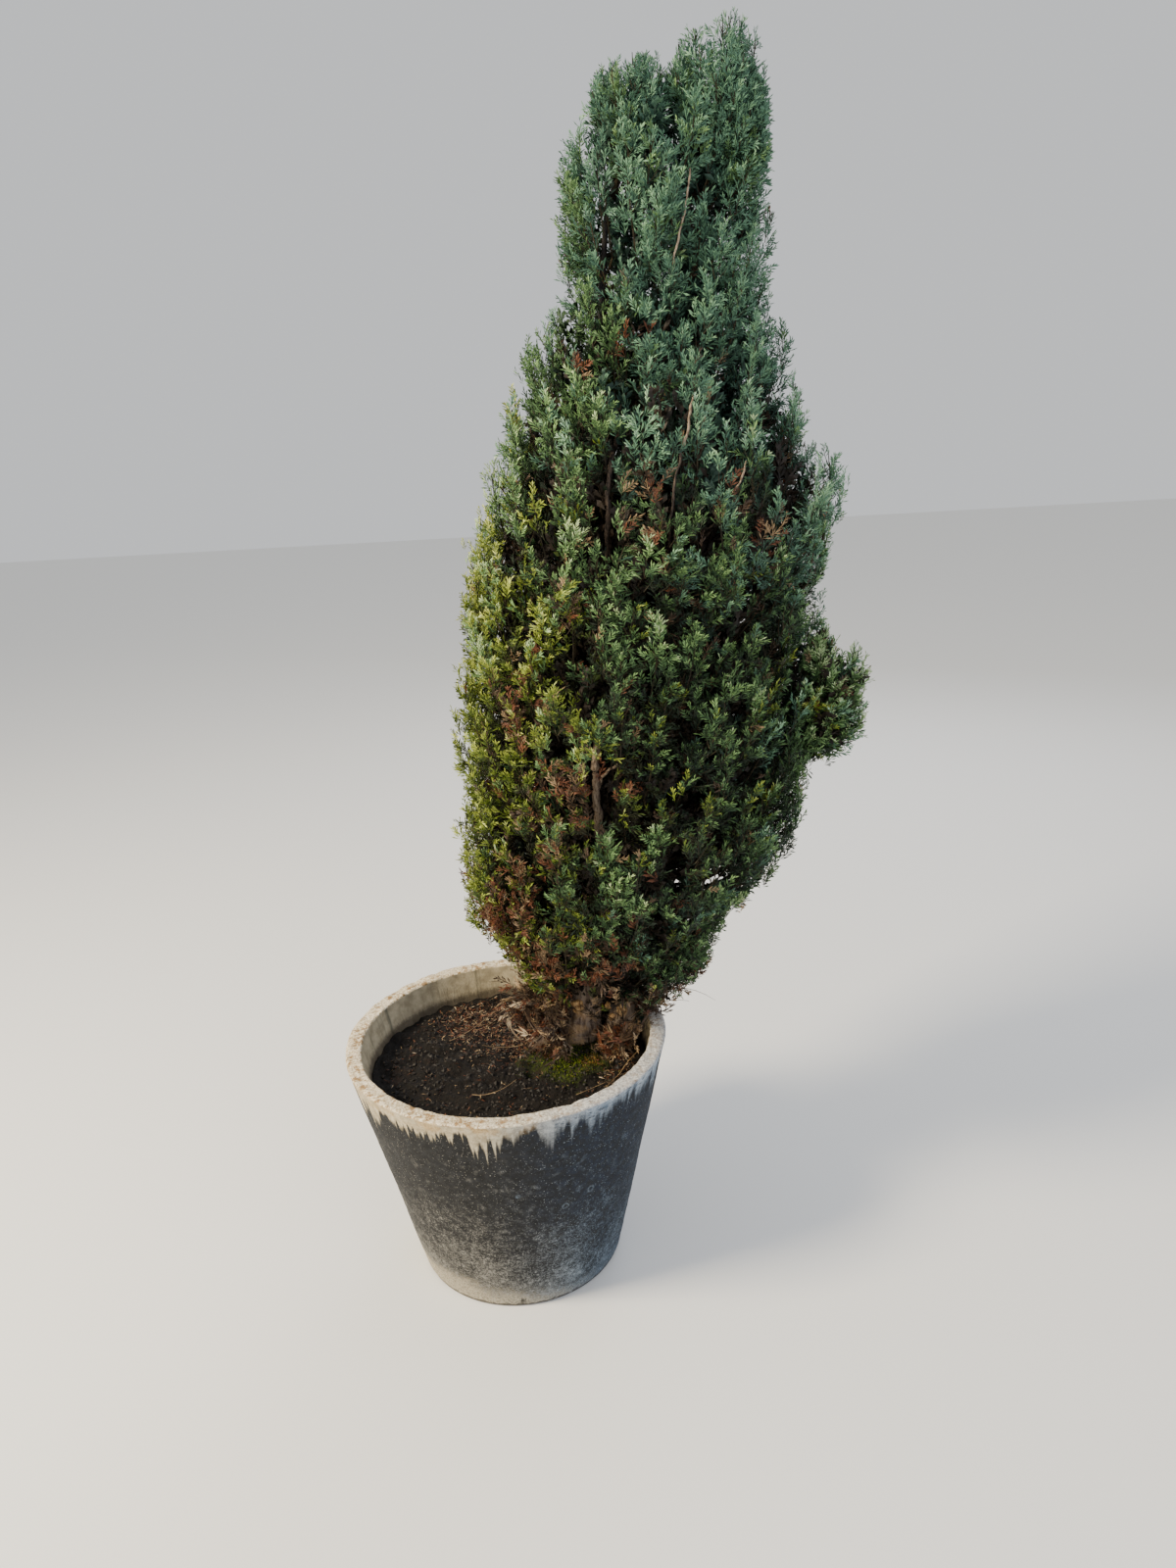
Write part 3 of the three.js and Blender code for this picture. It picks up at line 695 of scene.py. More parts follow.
# %% Dress the pot
def pot_finish():
    """The outer wall from its film outwards, the inside and the rim."""
    made = Concrete()
    specks = pale_specks(made)
    lime = lime_share(made)
    wall = splashed_foot(made, worn_film(made))
    # Pale grit, painted bluish as shade on the right
    wall = made.mix(specks, wall, made.painted_sun_and_shade("#a9a498", "#8fa0ae"))
    wall = limed(made, old_marks(made, wall), lime)
    radius = made.vector("LENGTH", "Value", made.flat)
    outside = (radius - (POT_FOOT_RADIUS + made.z * POT_SLOPE)).step(-0.02, -0.012)
    on_top = (made.depth + (made.fine - 0.5) * 0.002).step(0.0048, 0.0022)
    body = made.mix(outside, inside_colour(made), wall)
    colour = made.mix(on_top, body, rim_colour(made))
    craters = made.cells(120).step(0.0, 0.22)
    relief = made.fine * 0.6 + made.grain * 0.35 + made.coarse * 0.5
    relief = relief + specks * 0.2 + lime * 0.2 + craters * 0.2
    return made.done(colour, 0.74 + (made.fine - 0.5) * 0.3, relief, 0.0014, 0.8)


pot = add_piece("pot_body", POT_SHAPE, grid_faces(*POT_SHAPE.shape[:2]), pot_finish(), "pot", smooth=True)
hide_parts("pot")

# %% [markdown]
# ## Soil
# The compost has sunk a little below the rim. It is dark and crumbly, heaped round the stems,
# with a cushion of moss in front of them. A flat disc with a bump pattern would look flat at the
# wall, so the heights of a disc of rings come from noise and from named heaps.

# %% Soil surface
SOIL_AROUND = 220
SOIL_RINGS = 130
SOIL_UNDER = 0.05
SOIL_CLEARANCE = 0.0012
SOIL_SETTLED = 0.003
MOSS_RISE = 0.007

# Heaps round the stems, as x, y, reach and rise
HEAPS = [(0.17, 0.06, 0.085, 0.006), (0.245, -0.01, 0.055, 0.016)]
MOSS_MIDDLE = (0.12, -0.028)
MOSS_REACH = (0.095, 0.072)


def soil_height(points):
    """Height above the soil's level: lumps, heaps and a cushion of moss."""
    height = 0.0035 * waves(points, 0.05, 11) + 0.0018 * waves(points, 0.014, 12, 40)
    for x, y, reach, rise in HEAPS:
        away = (points[..., 0] - x) ** 2 + (points[..., 1] - y) ** 2
        height = height + rise * np.exp(-away / reach ** 2)
    return height + MOSS_RISE * moss_share(points)


def moss_share(points):
    """1 in the middle of the moss, falling to 0 at its ragged edge."""
    across = (points[..., 0] - MOSS_MIDDLE[0]) / MOSS_REACH[0]
    along = (points[..., 1] - MOSS_MIDDLE[1]) / MOSS_REACH[1]
    ragged = 0.35 * waves(points, 0.03, 13)
    return smooth_step(1 - np.hypot(across, along) + ragged, 0, 0.5)


def soil_surface():
    """Rings from the middle over the top, down the side and back under."""
    inner = POT_RIM_RADIUS - POT_WALL - POT_SLOPE * (POT_HEIGHT - SOIL_LEVEL) - SOIL_CLEARANCE
    share = np.concatenate([[0.0], np.sqrt(np.linspace(0.0004, 1, SOIL_RINGS))])
    angle = np.arange(SOIL_AROUND) / SOIL_AROUND * 2 * math.pi
    top = round_axis((inner * share)[:, None], angle, SOIL_LEVEL)
    top[..., 2] += soil_height(top) - SOIL_SETTLED
    low = np.array([[inner - POT_SLOPE * SOIL_UNDER], [0.0]])
    return np.concatenate([top, round_axis(low, angle, SOIL_LEVEL - SOIL_UNDER)])


def soil_finish():
    """Dark compost painted nearly black as shade, with brown patches and a green stain of moss."""
    made = Finish("compost", 0.25)
    crumbs = made.noise(140, 4, 0.7)
    cloud = made.noise(18, 3, seed=2.0)
    # Painted shade: the compost is painted nearly black, as it lies in shade under the crown
    ground = made.mix(crumbs.step(0.35, 0.7), "#0b0907", "#19130e")
    ground = made.mix(cloud.step(0.58, 0.7) * 0.4, ground, "#2c1b12")
    x, y, _ = made.parts()
    across = (x - MOSS_MIDDLE[0]) / MOSS_REACH[0]
    along = (y - MOSS_MIDDLE[1]) / MOSS_REACH[1]
    away = (across * across + along * along) ** 0.5
    green = made.mix(made.noise(220, 3).step(0.35, 0.65), "#171d06", "#3c460c")
    mossy = (away + (cloud - 0.5) * 1.2 + (crumbs - 0.5) * 0.5).step(1.0, 0.7)
    relief = crumbs + made.noise(500, 2) * 0.4
    return made.done(made.mix(mossy * 0.9, ground, green), 0.9, relief, 0.004)


SOIL_SHAPE = soil_surface()
soil_faces = grid_faces(*SOIL_SHAPE.shape[:2])
soil = add_piece("soil_bed", SOIL_SHAPE, soil_faces[:, ::-1], soil_finish(), "soil", smooth=True)
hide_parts("soil")

# %% [markdown]
# ## Stems
# Two stems share the pot: a thick one on the left and a thinner one on the right. A cylinder
# could be sculpted, but strokes can't be written down. So a stem is a circle carried along its
# route, with its radius changed by ridges, flakes, rings and lumps at named places.

# %% Stem surfaces
STEM_AROUND = 44
STEM_ALONG = 400
STEM_SUNK = 0.008
STEM_TIP = 0.004

# The radius at shares of a stem's length
LEFT_GIRTH = [(0, 0.034), (0.07, 0.029), (0.18, 0.016), (0.36, 0.0108), (0.66, 0.0078),
              (0.88, 0.006), (1, 0.004)]
RIGHT_GIRTH = [(0, 0.024), (0.07, 0.02), (0.18, 0.012), (0.36, 0.0082), (0.66, 0.0062),
               (0.88, 0.005), (1, 0.004)]

# Swellings, as the length from the soil, bearing in degrees, reach and rise
LEFT_LUMPS = [(0.03, 215, 0.02, 0.008), (0.062, 250, 0.016, 0.007), (0.018, 300, 0.014, 0.004),
              (0.05, 160, 0.018, 0.006), (0.085, 20, 0.015, 0.004)]
RIGHT_LUMPS = [(0.035, 230, 0.017, 0.009), (0.02, 280, 0.015, 0.007), (0.06, 310, 0.013, 0.006),
               (0.05, 180, 0.014, 0.006)]

# The route, girth, flare, lumps and seed of each stem
STEMS = {
    "left": (LEFT_STEM, LEFT_GIRTH, 0.005, LEFT_LUMPS, 21),
    "right": (RIGHT_STEM, RIGHT_GIRTH, 0.004, RIGHT_LUMPS, 31),
}


def stem_radius(route, girth, flare):
    """The radius along a route with its fading flare, and the length from the soil."""
    steps = np.linalg.norm(np.diff(route, axis=0), axis=1)
    length = np.concatenate([[0], np.cumsum(steps)])
    taper = np.interp(length / length[-1], *np.array(girth).T)
    return taper + flare * np.exp(-length / FLARE_HEIGHT), length


def stem_surface(stations, girth, flare, lumps, seed):
    """A closed tube: radius (0.93 + ridges, flakes and rings) + swellings."""
    route = smooth_route(stations, STEM_ALONG)
    radius, length = stem_radius(route, girth, flare)
    tangent = unit(np.gradient(route, axis=0))
    first = square_to(np.broadcast_to([1.0, 0.0, 0.0], tangent.shape), tangent)
    second = np.cross(tangent, first)
    angle = np.arange(STEM_AROUND) / STEM_AROUND * 2 * math.pi
    circle = leaned(first[:, None], second[:, None], angle)
    stretched = round_axis(1, angle, length[:, None] / 0.35)
    ridges = np.abs(waves(stretched, 0.55, seed, 40))
    flakes = smooth_step(waves(stretched * [1, 1, 3], 0.5, seed + 1, 40), 0.1, 0.5)
    rings = np.sin(length[:, None] / 0.0045 + 1.5 * waves(stretched, 1.2, seed + 2))
    relief = 0.055 * ridges + 0.045 * flakes + 0.012 * rings
    swelling = np.zeros((len(route), STEM_AROUND))
    for height, bearing, reach, rise in lumps:
        turn = np.angle(np.exp(1j * (angle - math.radians(bearing))))
        near = (length[:, None] - height) ** 2 + (turn * radius[:, None]) ** 2
        swelling += rise * np.exp(-near / reach ** 2)
    walls = route[:, None] + circle * (radius[:, None] * (0.93 + relief) + swelling)[..., None]
    walls[0, :, 2] = SOIL_LEVEL - STEM_SUNK
    ends = np.stack([route[:1].repeat(STEM_AROUND, 0), route[-1:].repeat(STEM_AROUND, 0)])
    ends[0, :, 2] = SOIL_LEVEL - STEM_SUNK
    ends[1, :, 2] += STEM_TIP
    return np.concatenate([ends[:1], walls, ends[1:]])


print("the stems start", 2000 * LEFT_GIRTH[0][1], "mm and", 2000 * RIGHT_GIRTH[0][1], "mm thick")

# %% [markdown]
# ## Bark
# The bark peels in thin strips, is painted darker up inside the crown as shade, and is rubbed
# down to golden wood in places near the soil. Since the stems stand nearly upright, noise stretched
# upwards follows them without any unwrapping.

# %% Bark and stem pieces
# Where the bark has rubbed off down to golden wood, as x, y, z and reach
GOLDEN = [(0.138, 0.03, 0.5, 0.016), (0.224, 0.03, 0.484, 0.014)]


def bark_finish():
    """Strips of bark, painted darker above as shade inside the crown, pale at the foot and golden where
    rubbed.
    """
    made = Finish("peeling_bark", 0.25)
    stretched = made.scaled(made.place, (1.0, 1.0, 0.16))
    strips = made.noise(150, 4, 0.65, stretched)
    fine = made.noise(420, 3, 0.6, made.scaled(made.place, (1.0, 1.0, 0.4)))
    cloud = made.noise(22, 3)
    bark = made.mix(strips.step(0.35, 0.62), "#4e3d32", "#a08b76")
    bark = made.mix(cloud.step(0.45, 0.65) * 0.6, bark, "#a08f7b")
    bark = made.mix(fine.step(0.55, 0.75) * 0.4, bark, "#5b3d28")
    _, _, z = made.parts()
    # Painted shade: darker up inside the crown, and darker and bluer still near the top
    bark = made.mix(z.step(1.05, 1.3) * 0.6, bark, "#2c231d")
    bark = made.mix(z.step(1.6, 1.7) * 0.75, bark, "#2b2e33")
    bark = made.mix((z + (cloud - 0.5) * 0.1).step(0.56, 0.5) * strips.step(0.42, 0.62) * 0.45,
                    bark, "#a08f7e")
    golden = (z + (cloud - 0.5) * 0.08).step(0.5, 0.46) * made.noise(30, 2, seed=4.0).step(0.46, 0.6)
    golden = golden * 0.6
    for *middle, reach in GOLDEN:
        golden = golden.most((made.away(middle) + (cloud - 0.5) * 0.02).step(reach, 0.4 * reach))
    wood = made.mix(fine.step(0.35, 0.65), "#a87d49", "#d8b27c")
    return made.done(made.mix(golden * 0.85, bark, wood), 0.82, strips + fine * 0.5, 0.003)


BARK = bark_finish()
for side, sizes in STEMS.items():
    shape = stem_surface(*sizes)
    stem = add_piece(f"bark_stem_{side}", shape, grid_faces(*shape.shape[:2]), BARK, "bark", smooth=True)
    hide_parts(f"stem_{side}")

# %% [markdown]
# ## Knots
# Old wounds have healed into round knots, golden brown where the bark has rubbed off. The points
# of a stem are too far apart to show them, so each is a ball set half into its stem, dented by
# noise and ringed.

# %% Knots
KNOT_ROWS = 40
KNOT_COLUMNS = 48

# Knots as x, y, z and radius
KNOTS = [
    (0.139, 0.034, 0.502, 0.012), (0.157, 0.038, 0.486, 0.007), (0.127, 0.042, 0.458, 0.0075),
    (0.224, 0.036, 0.486, 0.011), (0.206, 0.038, 0.47, 0.0075), (0.242, 0.042, 0.468, 0.007),
    (0.199, 0.042, 0.494, 0.007),
]


def knot_surface(middle, radius, seed):
    """A closed ball, dented, and ringed round the axis towards the viewer."""
    polar = np.linspace(0, math.pi, KNOT_ROWS)[:, None]
    turn = np.arange(KNOT_COLUMNS) / KNOT_COLUMNS * 2 * math.pi
    level = np.sin(polar)
    sphere = np.stack([level * np.cos(turn), -np.cos(polar) + 0 * turn, level * np.sin(turn)], -1)
    rings = 0.035 * np.sin(polar * 13 + 1.3 * waves(sphere, 1.0, seed))
    dents = 0.13 * waves(sphere, 1.1, seed + 1) + 0.05 * waves(sphere, 0.35, seed + 2, 40)
    return np.array(middle) + sphere * (radius * (1 + rings + dents))[..., None] * [1.0, 0.9, 1.12]


def knot_finish():
    """Golden wood in fine strips, with dark patches of bark."""
    made = Finish("knot", 0.3)
    strips = made.noise(240, 4, 0.65, made.scaled(made.place, (1.0, 1.0, 0.5)))
    cloud = made.noise(60, 3, seed=3.0)
    wood = made.mix(strips.step(0.35, 0.65), "#8a6135", "#e0b67e")
    colour = made.mix(cloud.step(0.48, 0.6) * 0.7, wood, "#3b2e25")
    return made.done(colour, 0.75, strips, 0.002)


balls = [knot_surface(middle, radius, 34 + 3 * n) for n, (*middle, radius) in enumerate(KNOTS)]
ball_faces = grid_faces(KNOT_ROWS, KNOT_COLUMNS)
knots = join([(ball.reshape(-1, 3), ball_faces) for ball in balls])
add_piece("knots", *knots, knot_finish(), "bark", smooth=True)

# %% [markdown]
# ## Where the plumes stand
# The foliage grows in upright plumes, like feathers. Scattered at random they would be crowded
# here and bald there. So they stand in rows, like the blades of the solids: a row every few
# centimetres, evenly spaced with a little play, leaning outwards from the crown's own slope.

# %% Crown
Plumes = namedtuple("Plumes", "tip along outward roll length group")


def crown_at(height):
    """Middle x, half width and half depth of the crown at heights."""
    left = np.interp(height, *np.array(LEFT_REACH).T)
    right = np.interp(height, *np.array(RIGHT_REACH).T)
    half_width = (right - left) / 2
    return (left + right) / 2, half_width, half_width * np.interp(height, *np.array(DEPTH_SHARE).T)


def crown_point(height, bearing, share):
    """Points of the crown, at its outside where the share is 1."""
    middle, half_width, half_depth = crown_at(height)
    x = middle + share * half_width * np.cos(bearing)
    y = CROWN_MIDDLE_Y + share * half_depth * np.sin(bearing)
    return np.stack(np.broadcast_arrays(x, y, height), -1)


def plume_length(height):
    """The length of plumes, shorter towards the top."""
    return np.interp(height, [SLENDER_FROM, CROWN_TOP], [PLUME_LENGTH, PLUME_LENGTH_AT_TOP])


def crown_plumes():
    """Tip, direction, outward direction, roll and length of the rows' plumes."""
    rows = np.arange(FIRST_ROW, CROWN_TOP, ROW_RISE)
    _, half_width, half_depth = crown_at(rows)
    counts = np.floor(math.pi * (half_width + half_depth) / PLUME_SPACING + 0.5).astype(int)
    row = np.repeat(np.arange(len(rows)), counts)
    k = np.concatenate([np.arange(count) for count in counts])
    play = stream(7, 3 * len(row)).reshape(-1, 3)
    bearing = (k + 0.5 * (row % 2) + BEARING_PLAY * (play[:, 0] - 0.5)) / counts[row] * 2 * math.pi
    share = 1 - np.array(PLUME_SETBACKS)[k % 3]
    height = rows[row] + ROW_PLAY * ROW_RISE * (play[:, 1] - 0.5)
    above, below = (crown_point(height + step, bearing, 1) for step in (SLOPE_SPAN, -SLOPE_SPAN))
    outward = round_axis(1, bearing, 0)
    along = unit(unit(above - below) * math.cos(PLUME_LEAN) + outward * math.sin(PLUME_LEAN))
    return crown_point(height, bearing, share), along, outward, play[:, 2], plume_length(height)


def inside_crown(points):
    """Whether points lie in the ellipse at their height."""
    middle, half_width, half_depth = crown_at(points[..., 2])
    across = np.hypot((points[..., 0] - middle) / half_width, (points[..., 1] - CROWN_MIDDLE_Y) / half_depth)
    return (across < 1) & (points[..., 2] < CROWN_TOP) & (points[..., 2] > CROWN_BOTTOM)


def block_terms(points, middle, radii):
    """1 on a block's skin: the sum of (distance / radius)^n, to the power 1 / n."""
    terms = (np.abs(points - np.array(middle)) / np.array(radii)) ** BLOCK_ROUNDNESS
    return terms.sum(-1) ** (1 / BLOCK_ROUNDNESS)


def block_plumes(middle, radii, seed, count=PLUMES_ON_A_BLOCK):
    """Plumes round a block by the golden angle, where it is clear of the crown."""
    k = np.arange(count)
    rise = 1 - 1.6 * (k + 0.3) / count
    level = np.sqrt(1 - rise * rise)
    outward = round_axis(level, k * GOLDEN_ANGLE, rise)
    tips = np.array(middle) + outward / block_terms(outward, (0, 0, 0), radii)[:, None]
    along = outward.copy()
    along[:, 2] = np.maximum(rise, 0) + 0.8
    keep = ~inside_crown(tips)
    flat = unit(outward * [1, 1, 0])
    return [part[keep] for part in (tips, unit(along), flat, stream(seed, count), plume_length(tips[:, 2]))]


groups = [crown_plumes()] + [block_plumes(*block, 41 + 7 * n) for n, block in enumerate(BLOCKS.values())]
numbers = np.repeat(np.arange(len(groups)), [len(group[0]) for group in groups])
solid_plumes = Plumes(*(np.concatenate(parts) for parts in zip(*groups)), numbers)
print(len(numbers), "plumes in the outer rank,", (numbers > 0).sum(), "of them on the blocks")

# %% [markdown]
# ## Hollows and gaps
# A real crown isn't closed: dark hollows lie between its plumes, a few places let the light
# through, and here and there a limb shows. Holes cut into the finished mesh would tear leaves. So
# each is written down first as a cone, and a spray that would grow in it is left out. The front's
# are named by x and z, and the sides that the photograph doesn't show get as many by a rule.

# %% Depth inside the crown
NEAR_AXIS = 0.05


def depth_inside(points):
    """Depth below the outside of the crown or a block, negative outside."""
    height = np.clip(points[..., 2], CROWN_BOTTOM, CROWN_TOP)
    middle, half_width, half_depth = crown_at(height)
    x, y = points[..., 0] - middle, points[..., 1] - CROWN_MIDDLE_Y
    across = np.maximum(np.hypot(x / half_width, y / half_depth), NEAR_AXIS)
    depth = np.minimum(np.hypot(x, y) * (1 / across - 1), CROWN_TOP - points[..., 2])
    for middle, radii in BLOCKS.values():
        share = np.maximum(block_terms(points, middle, radii), NEAR_AXIS)
        away = np.linalg.norm(points - np.array(middle), axis=-1)
        depth = np.maximum(depth, away * (1 / share - 1))
    return depth


def on_front(x, z):
    """The point of the crown's front at an x and a z."""
    middle, half_width, half_depth = crown_at(z)
    bulge = math.sqrt(max(1 - ((x - middle) / half_width) ** 2, 0))
    return np.array([x, CROWN_MIDDLE_Y - half_depth * bulge, z])


def cone_share(points, start, end, reach, spread):
    """1 near a line, falling to 0 past a reach that grows along it."""
    line = end - start
    length = np.linalg.norm(line)
    along = np.clip((points - start) @ line / length, 0, length)
    away = np.linalg.norm(points - start - along[:, None] * line / length, axis=1)
    wide = reach + spread * along
    return smooth_step(away / wide, 1.5, 0.75)


def largest_share(points, cones):
    """The share of the cone in which each point lies deepest."""
    share = np.zeros(len(points))
    for cone in cones:
        share = np.maximum(share, cone_share(points, *cone))
    return share


print("front at 1.2 m:", on_front(0.25, 1.2).round(3))

# %% Hollows
# Dark hollows between the plumes of the front, as x, z and reach
FRONT_HOLLOWS = [
    (0.338, 1.471, 0.024), (0.389, 1.41, 0.026), (0.206, 1.185, 0.024), (0.179, 1.247, 0.022),
    (0.273, 1.337, 0.022), (0.296, 1.198, 0.02), (0.2, 0.999, 0.026), (0.343, 1.115, 0.026),
    (0.34, 0.981, 0.03), (0.321, 0.879, 0.028), (0.279, 0.847, 0.022), (0.173, 0.85, 0.018),
    (0.141, 1.397, 0.018), (0.078, 1.395, 0.016), (0.274, 1.621, 0.02), (0.302, 1.719, 0.018),
    (0.346, 1.589, 0.016), (0.287, 1.833, 0.018), (0.321, 1.775, 0.016), (0.233, 0.62, 0.03),
    (0.138, 1.09, 0.018), (0.061, 0.908, 0.018), (0.418, 1.264, 0.018), (0.442, 1.013, 0.022),
    (0.384, 1.504, 0.016), (0.061, 1.271, 0.016), (0.197, 1.569, 0.016), (0.5, 1.21, 0.018),
    (0.43, 1.13, 0.016), (0.24, 1.48, 0.018), (0.29, 0.74, 0.022),
]
HOLLOW_DEPTH = 0.16
HOLLOW_SPREAD = 0.06
HOLLOW_MOUTH = 0.03
HOLLOWS_ELSEWHERE = 46
GOLDEN_SHARE = 0.618
VIEWER = np.array(CAMERA_PLACE)


def over_other_sides(count, seed, low, span, first, sweep):
    """Heights, bearings and a draw, even over the sides that don't show."""
    play = stream(seed, 3 * count).reshape(-1, 3)
    heights = low + span * (np.arange(count) + play[:, 0]) / count
    turns = (np.arange(count) * GOLDEN_SHARE + 0.2 * play[:, 1]) % 1
    return heights, np.radians(first + sweep * turns), play[:, 2]


def line_of_sight(x, z, depth):
    """A line the viewer looks along: its end inside the crown and its start."""
    mouth = on_front(x, z)
    inwards = unit(mouth - VIEWER)
    return mouth + inwards * depth, mouth - inwards * HOLLOW_MOUTH


def hollow_cones():
    """The hollows as cones, on the front and evenly over the other sides."""
    cones = [(*line_of_sight(x, z, HOLLOW_DEPTH), 0.55 * reach, HOLLOW_SPREAD)
             for x, z, reach in FRONT_HOLLOWS]
    heights, bearings, draws = over_other_sides(HOLLOWS_ELSEWHERE, 29, 0.62, 1.42, -25, 230)
    mouths = crown_point(heights, bearings, 1)
    for mouth, bearing, draw in zip(mouths, bearings, draws):
        inwards = -np.array([math.cos(bearing), math.sin(bearing), 0.15])
        ends = mouth + inwards * HOLLOW_DEPTH, mouth - inwards * HOLLOW_MOUTH
        cones.append((*ends, 0.008 + 0.008 * draw, HOLLOW_SPREAD))
    return cones


HOLLOW_CONES = hollow_cones()
print(len(HOLLOW_CONES), "hollows")

# %% Windows, bare stretches and limbs
# Gaps seen right through the crown, as x, z and reach
WINDOWS = [(0.277, 1.912, 0.009), (0.317, 0.874, 0.01), (0.321, 0.848, 0.008), (0.374, 0.838, 0.008),
           (0.398, 0.846, 0.008), (0.29, 0.79, 0.006), (0.345, 0.765, 0.006)]
WINDOW_DEPTH = 0.45

# Stretches of a stem that show, as the stem, two heights and a reach
BARE_STRETCHES = [(LEFT_STEM, 1.77, 1.88, 0.008)]

# Limbs in front of the greenery, as points, a radius and how far round them is open
PALE_LIMBS = [
    ([(0.388, 0.0, 1.938), (0.383, -0.008, 1.906), (0.374, -0.016, 1.863), (0.363, -0.02, 1.828),
      (0.356, -0.022, 1.795)], 0.0016, 0.004),
    ([(0.377, -0.088, 1.613), (0.369, -0.104, 1.581), (0.362, -0.113, 1.56), (0.355, -0.12, 1.539)],
     0.0021, 0.005),
    ([(0.453, -0.118, 1.512), (0.442, -0.128, 1.487), (0.43, -0.14, 1.468)], 0.0014, 0.004),
    ([(0.205, 0.03, 0.79), (0.199, -0.03, 0.855), (0.196, -0.06, 0.911), (0.195, -0.085, 0.974),
      (0.197, -0.085, 1.027), (0.205, -0.06, 1.071), (0.217, 0.0, 1.107)], 0.0076, 0.013),
    ([(0.198, -0.08, 0.985), (0.216, -0.1, 1.017), (0.233, -0.12, 1.038)], 0.0026, 0.007),
]
# These limbs' bark is painted dark, as shade inside the crown
DARK_LIMBS = [
    ([(0.234, 0.03, 1.307), (0.234, -0.04, 1.357), (0.236, -0.08, 1.417), (0.239, -0.09, 1.463),
      (0.243, -0.08, 1.507), (0.255, -0.04, 1.542), (0.273, 0.03, 1.578)], 0.0046, 0.01),
    ([(0.339, 0.03, 1.318), (0.332, -0.08, 1.381), (0.332, -0.12, 1.415), (0.337, -0.134, 1.454),
      (0.342, -0.132, 1.49), (0.355, -0.12, 1.541)], 0.0023, 0.005),
]

# Open places at the foot, as x, y, z and reach
FOOT_VIEWS = [(0.14, 0.028, 0.436, 0.016), (0.143, 0.03, 0.465, 0.018), (0.142, 0.032, 0.498, 0.018),
              (0.143, 0.033, 0.524, 0.017), (0.182, 0.05, 0.47, 0.009), (0.184, 0.05, 0.51, 0.009),
              (0.185, 0.05, 0.545, 0.01), (0.205, 0.026, 0.474, 0.008), (0.224, 0.024, 0.488, 0.014),
              (0.246, 0.028, 0.48, 0.008)]
FOOT_TOP = 0.62


def towards_viewer(at, length, reach, spread):
    """A cone that opens from a point towards the viewer."""
    return at, at + length * unit(VIEWER - at), reach, spread


def limb_lines():
    """Cones in front of the bare stretches of stems, and of the limbs."""
    lines = []
    for stations, low, high, reach in BARE_STRETCHES:
        route = smooth_route(stations, 200)
        for at in at_height(route, np.linspace(low, high, 6)):
            lines.append(towards_viewer(at, 0.3, reach, 0.02))
    for points, _, reach in PALE_LIMBS + DARK_LIMBS:
        for at in smooth_route(points, 14)[2:-2]:
            lines.append(towards_viewer(at, 0.1, reach, 0.01))
    return lines


WINDOW_LINES = [(*line_of_sight(x, z, WINDOW_DEPTH), reach, 0.0) for x, z, reach in WINDOWS]
CLEAR_LINES = WINDOW_LINES + limb_lines()
FOOT_LINES = [towards_viewer(np.array(place), 0.2, reach, 0.02) for *place, reach in FOOT_VIEWS]
print(len(CLEAR_LINES), "clear lines, and", len(FOOT_LINES), "more at the foot")

# %% [markdown]
# ## How a plume grows
# A plume is a twig that arches upwards, with side twigs set round it by the golden angle. They are
# longest just short of the middle and lean in towards the tip, which makes the plume blunt like a
# feather duster. Each side twig ends in a flat spray and bears others to the left and right. Copies
# of one plume would show as a pattern, so all plumes grow at once from their own draws, as arrays
# whose first two axes count the plumes and their side twigs.

# %% Plume growth
Sprays = namedtuple("Sprays", "base aim outward size plume place")

PLUME_ARCH = 0.22
PLUME_RINGS = 5
PLUME_RADII = (0.0018, 0.0008)
SIDE_FIRST = 0.1
SIDE_SPAN = 0.76
SIDE_ANGLE = (math.radians(56), math.radians(22))
SIDE_REACH = 0.17
SIDE_BEND = 0.3
SIDE_RINGS = 2
SIDE_RADII = (0.001, 0.0005)
EGG_MIDDLE = 0.42
EGG_REACH = 0.72
OUTWARD_TRIM = 0.35
SPRAY_ANGLE = math.radians(40)
TOP_SHARES = (0.6, 0.7, 0.78, 0.86, 0.92)
TOP_ANGLES = (42, 36, 30, 20, 0)
TOP_SIZES = (0.95, 0.9, 0.85, 0.8, 0.75)
UP = np.array([0.0, 0.0, 1.0])


def plume_axes(plumes, share):
    """Points and directions at shares of arching plumes, as (plume, share, 3)."""
    along, length = plumes.along, plumes.length
    rise = square_to(np.broadcast_to(UP, along.shape), along)
    root = plumes.tip - along * length[:, None]
    s = share[..., None]
    bent = s * along[:, None] + PLUME_ARCH * (s * s - s) * rise[:, None]
    points = root[:, None] + length[:, None, None] * bent
    return points, unit(along[:, None] + PLUME_ARCH * (2 * s - 1) * rise[:, None])


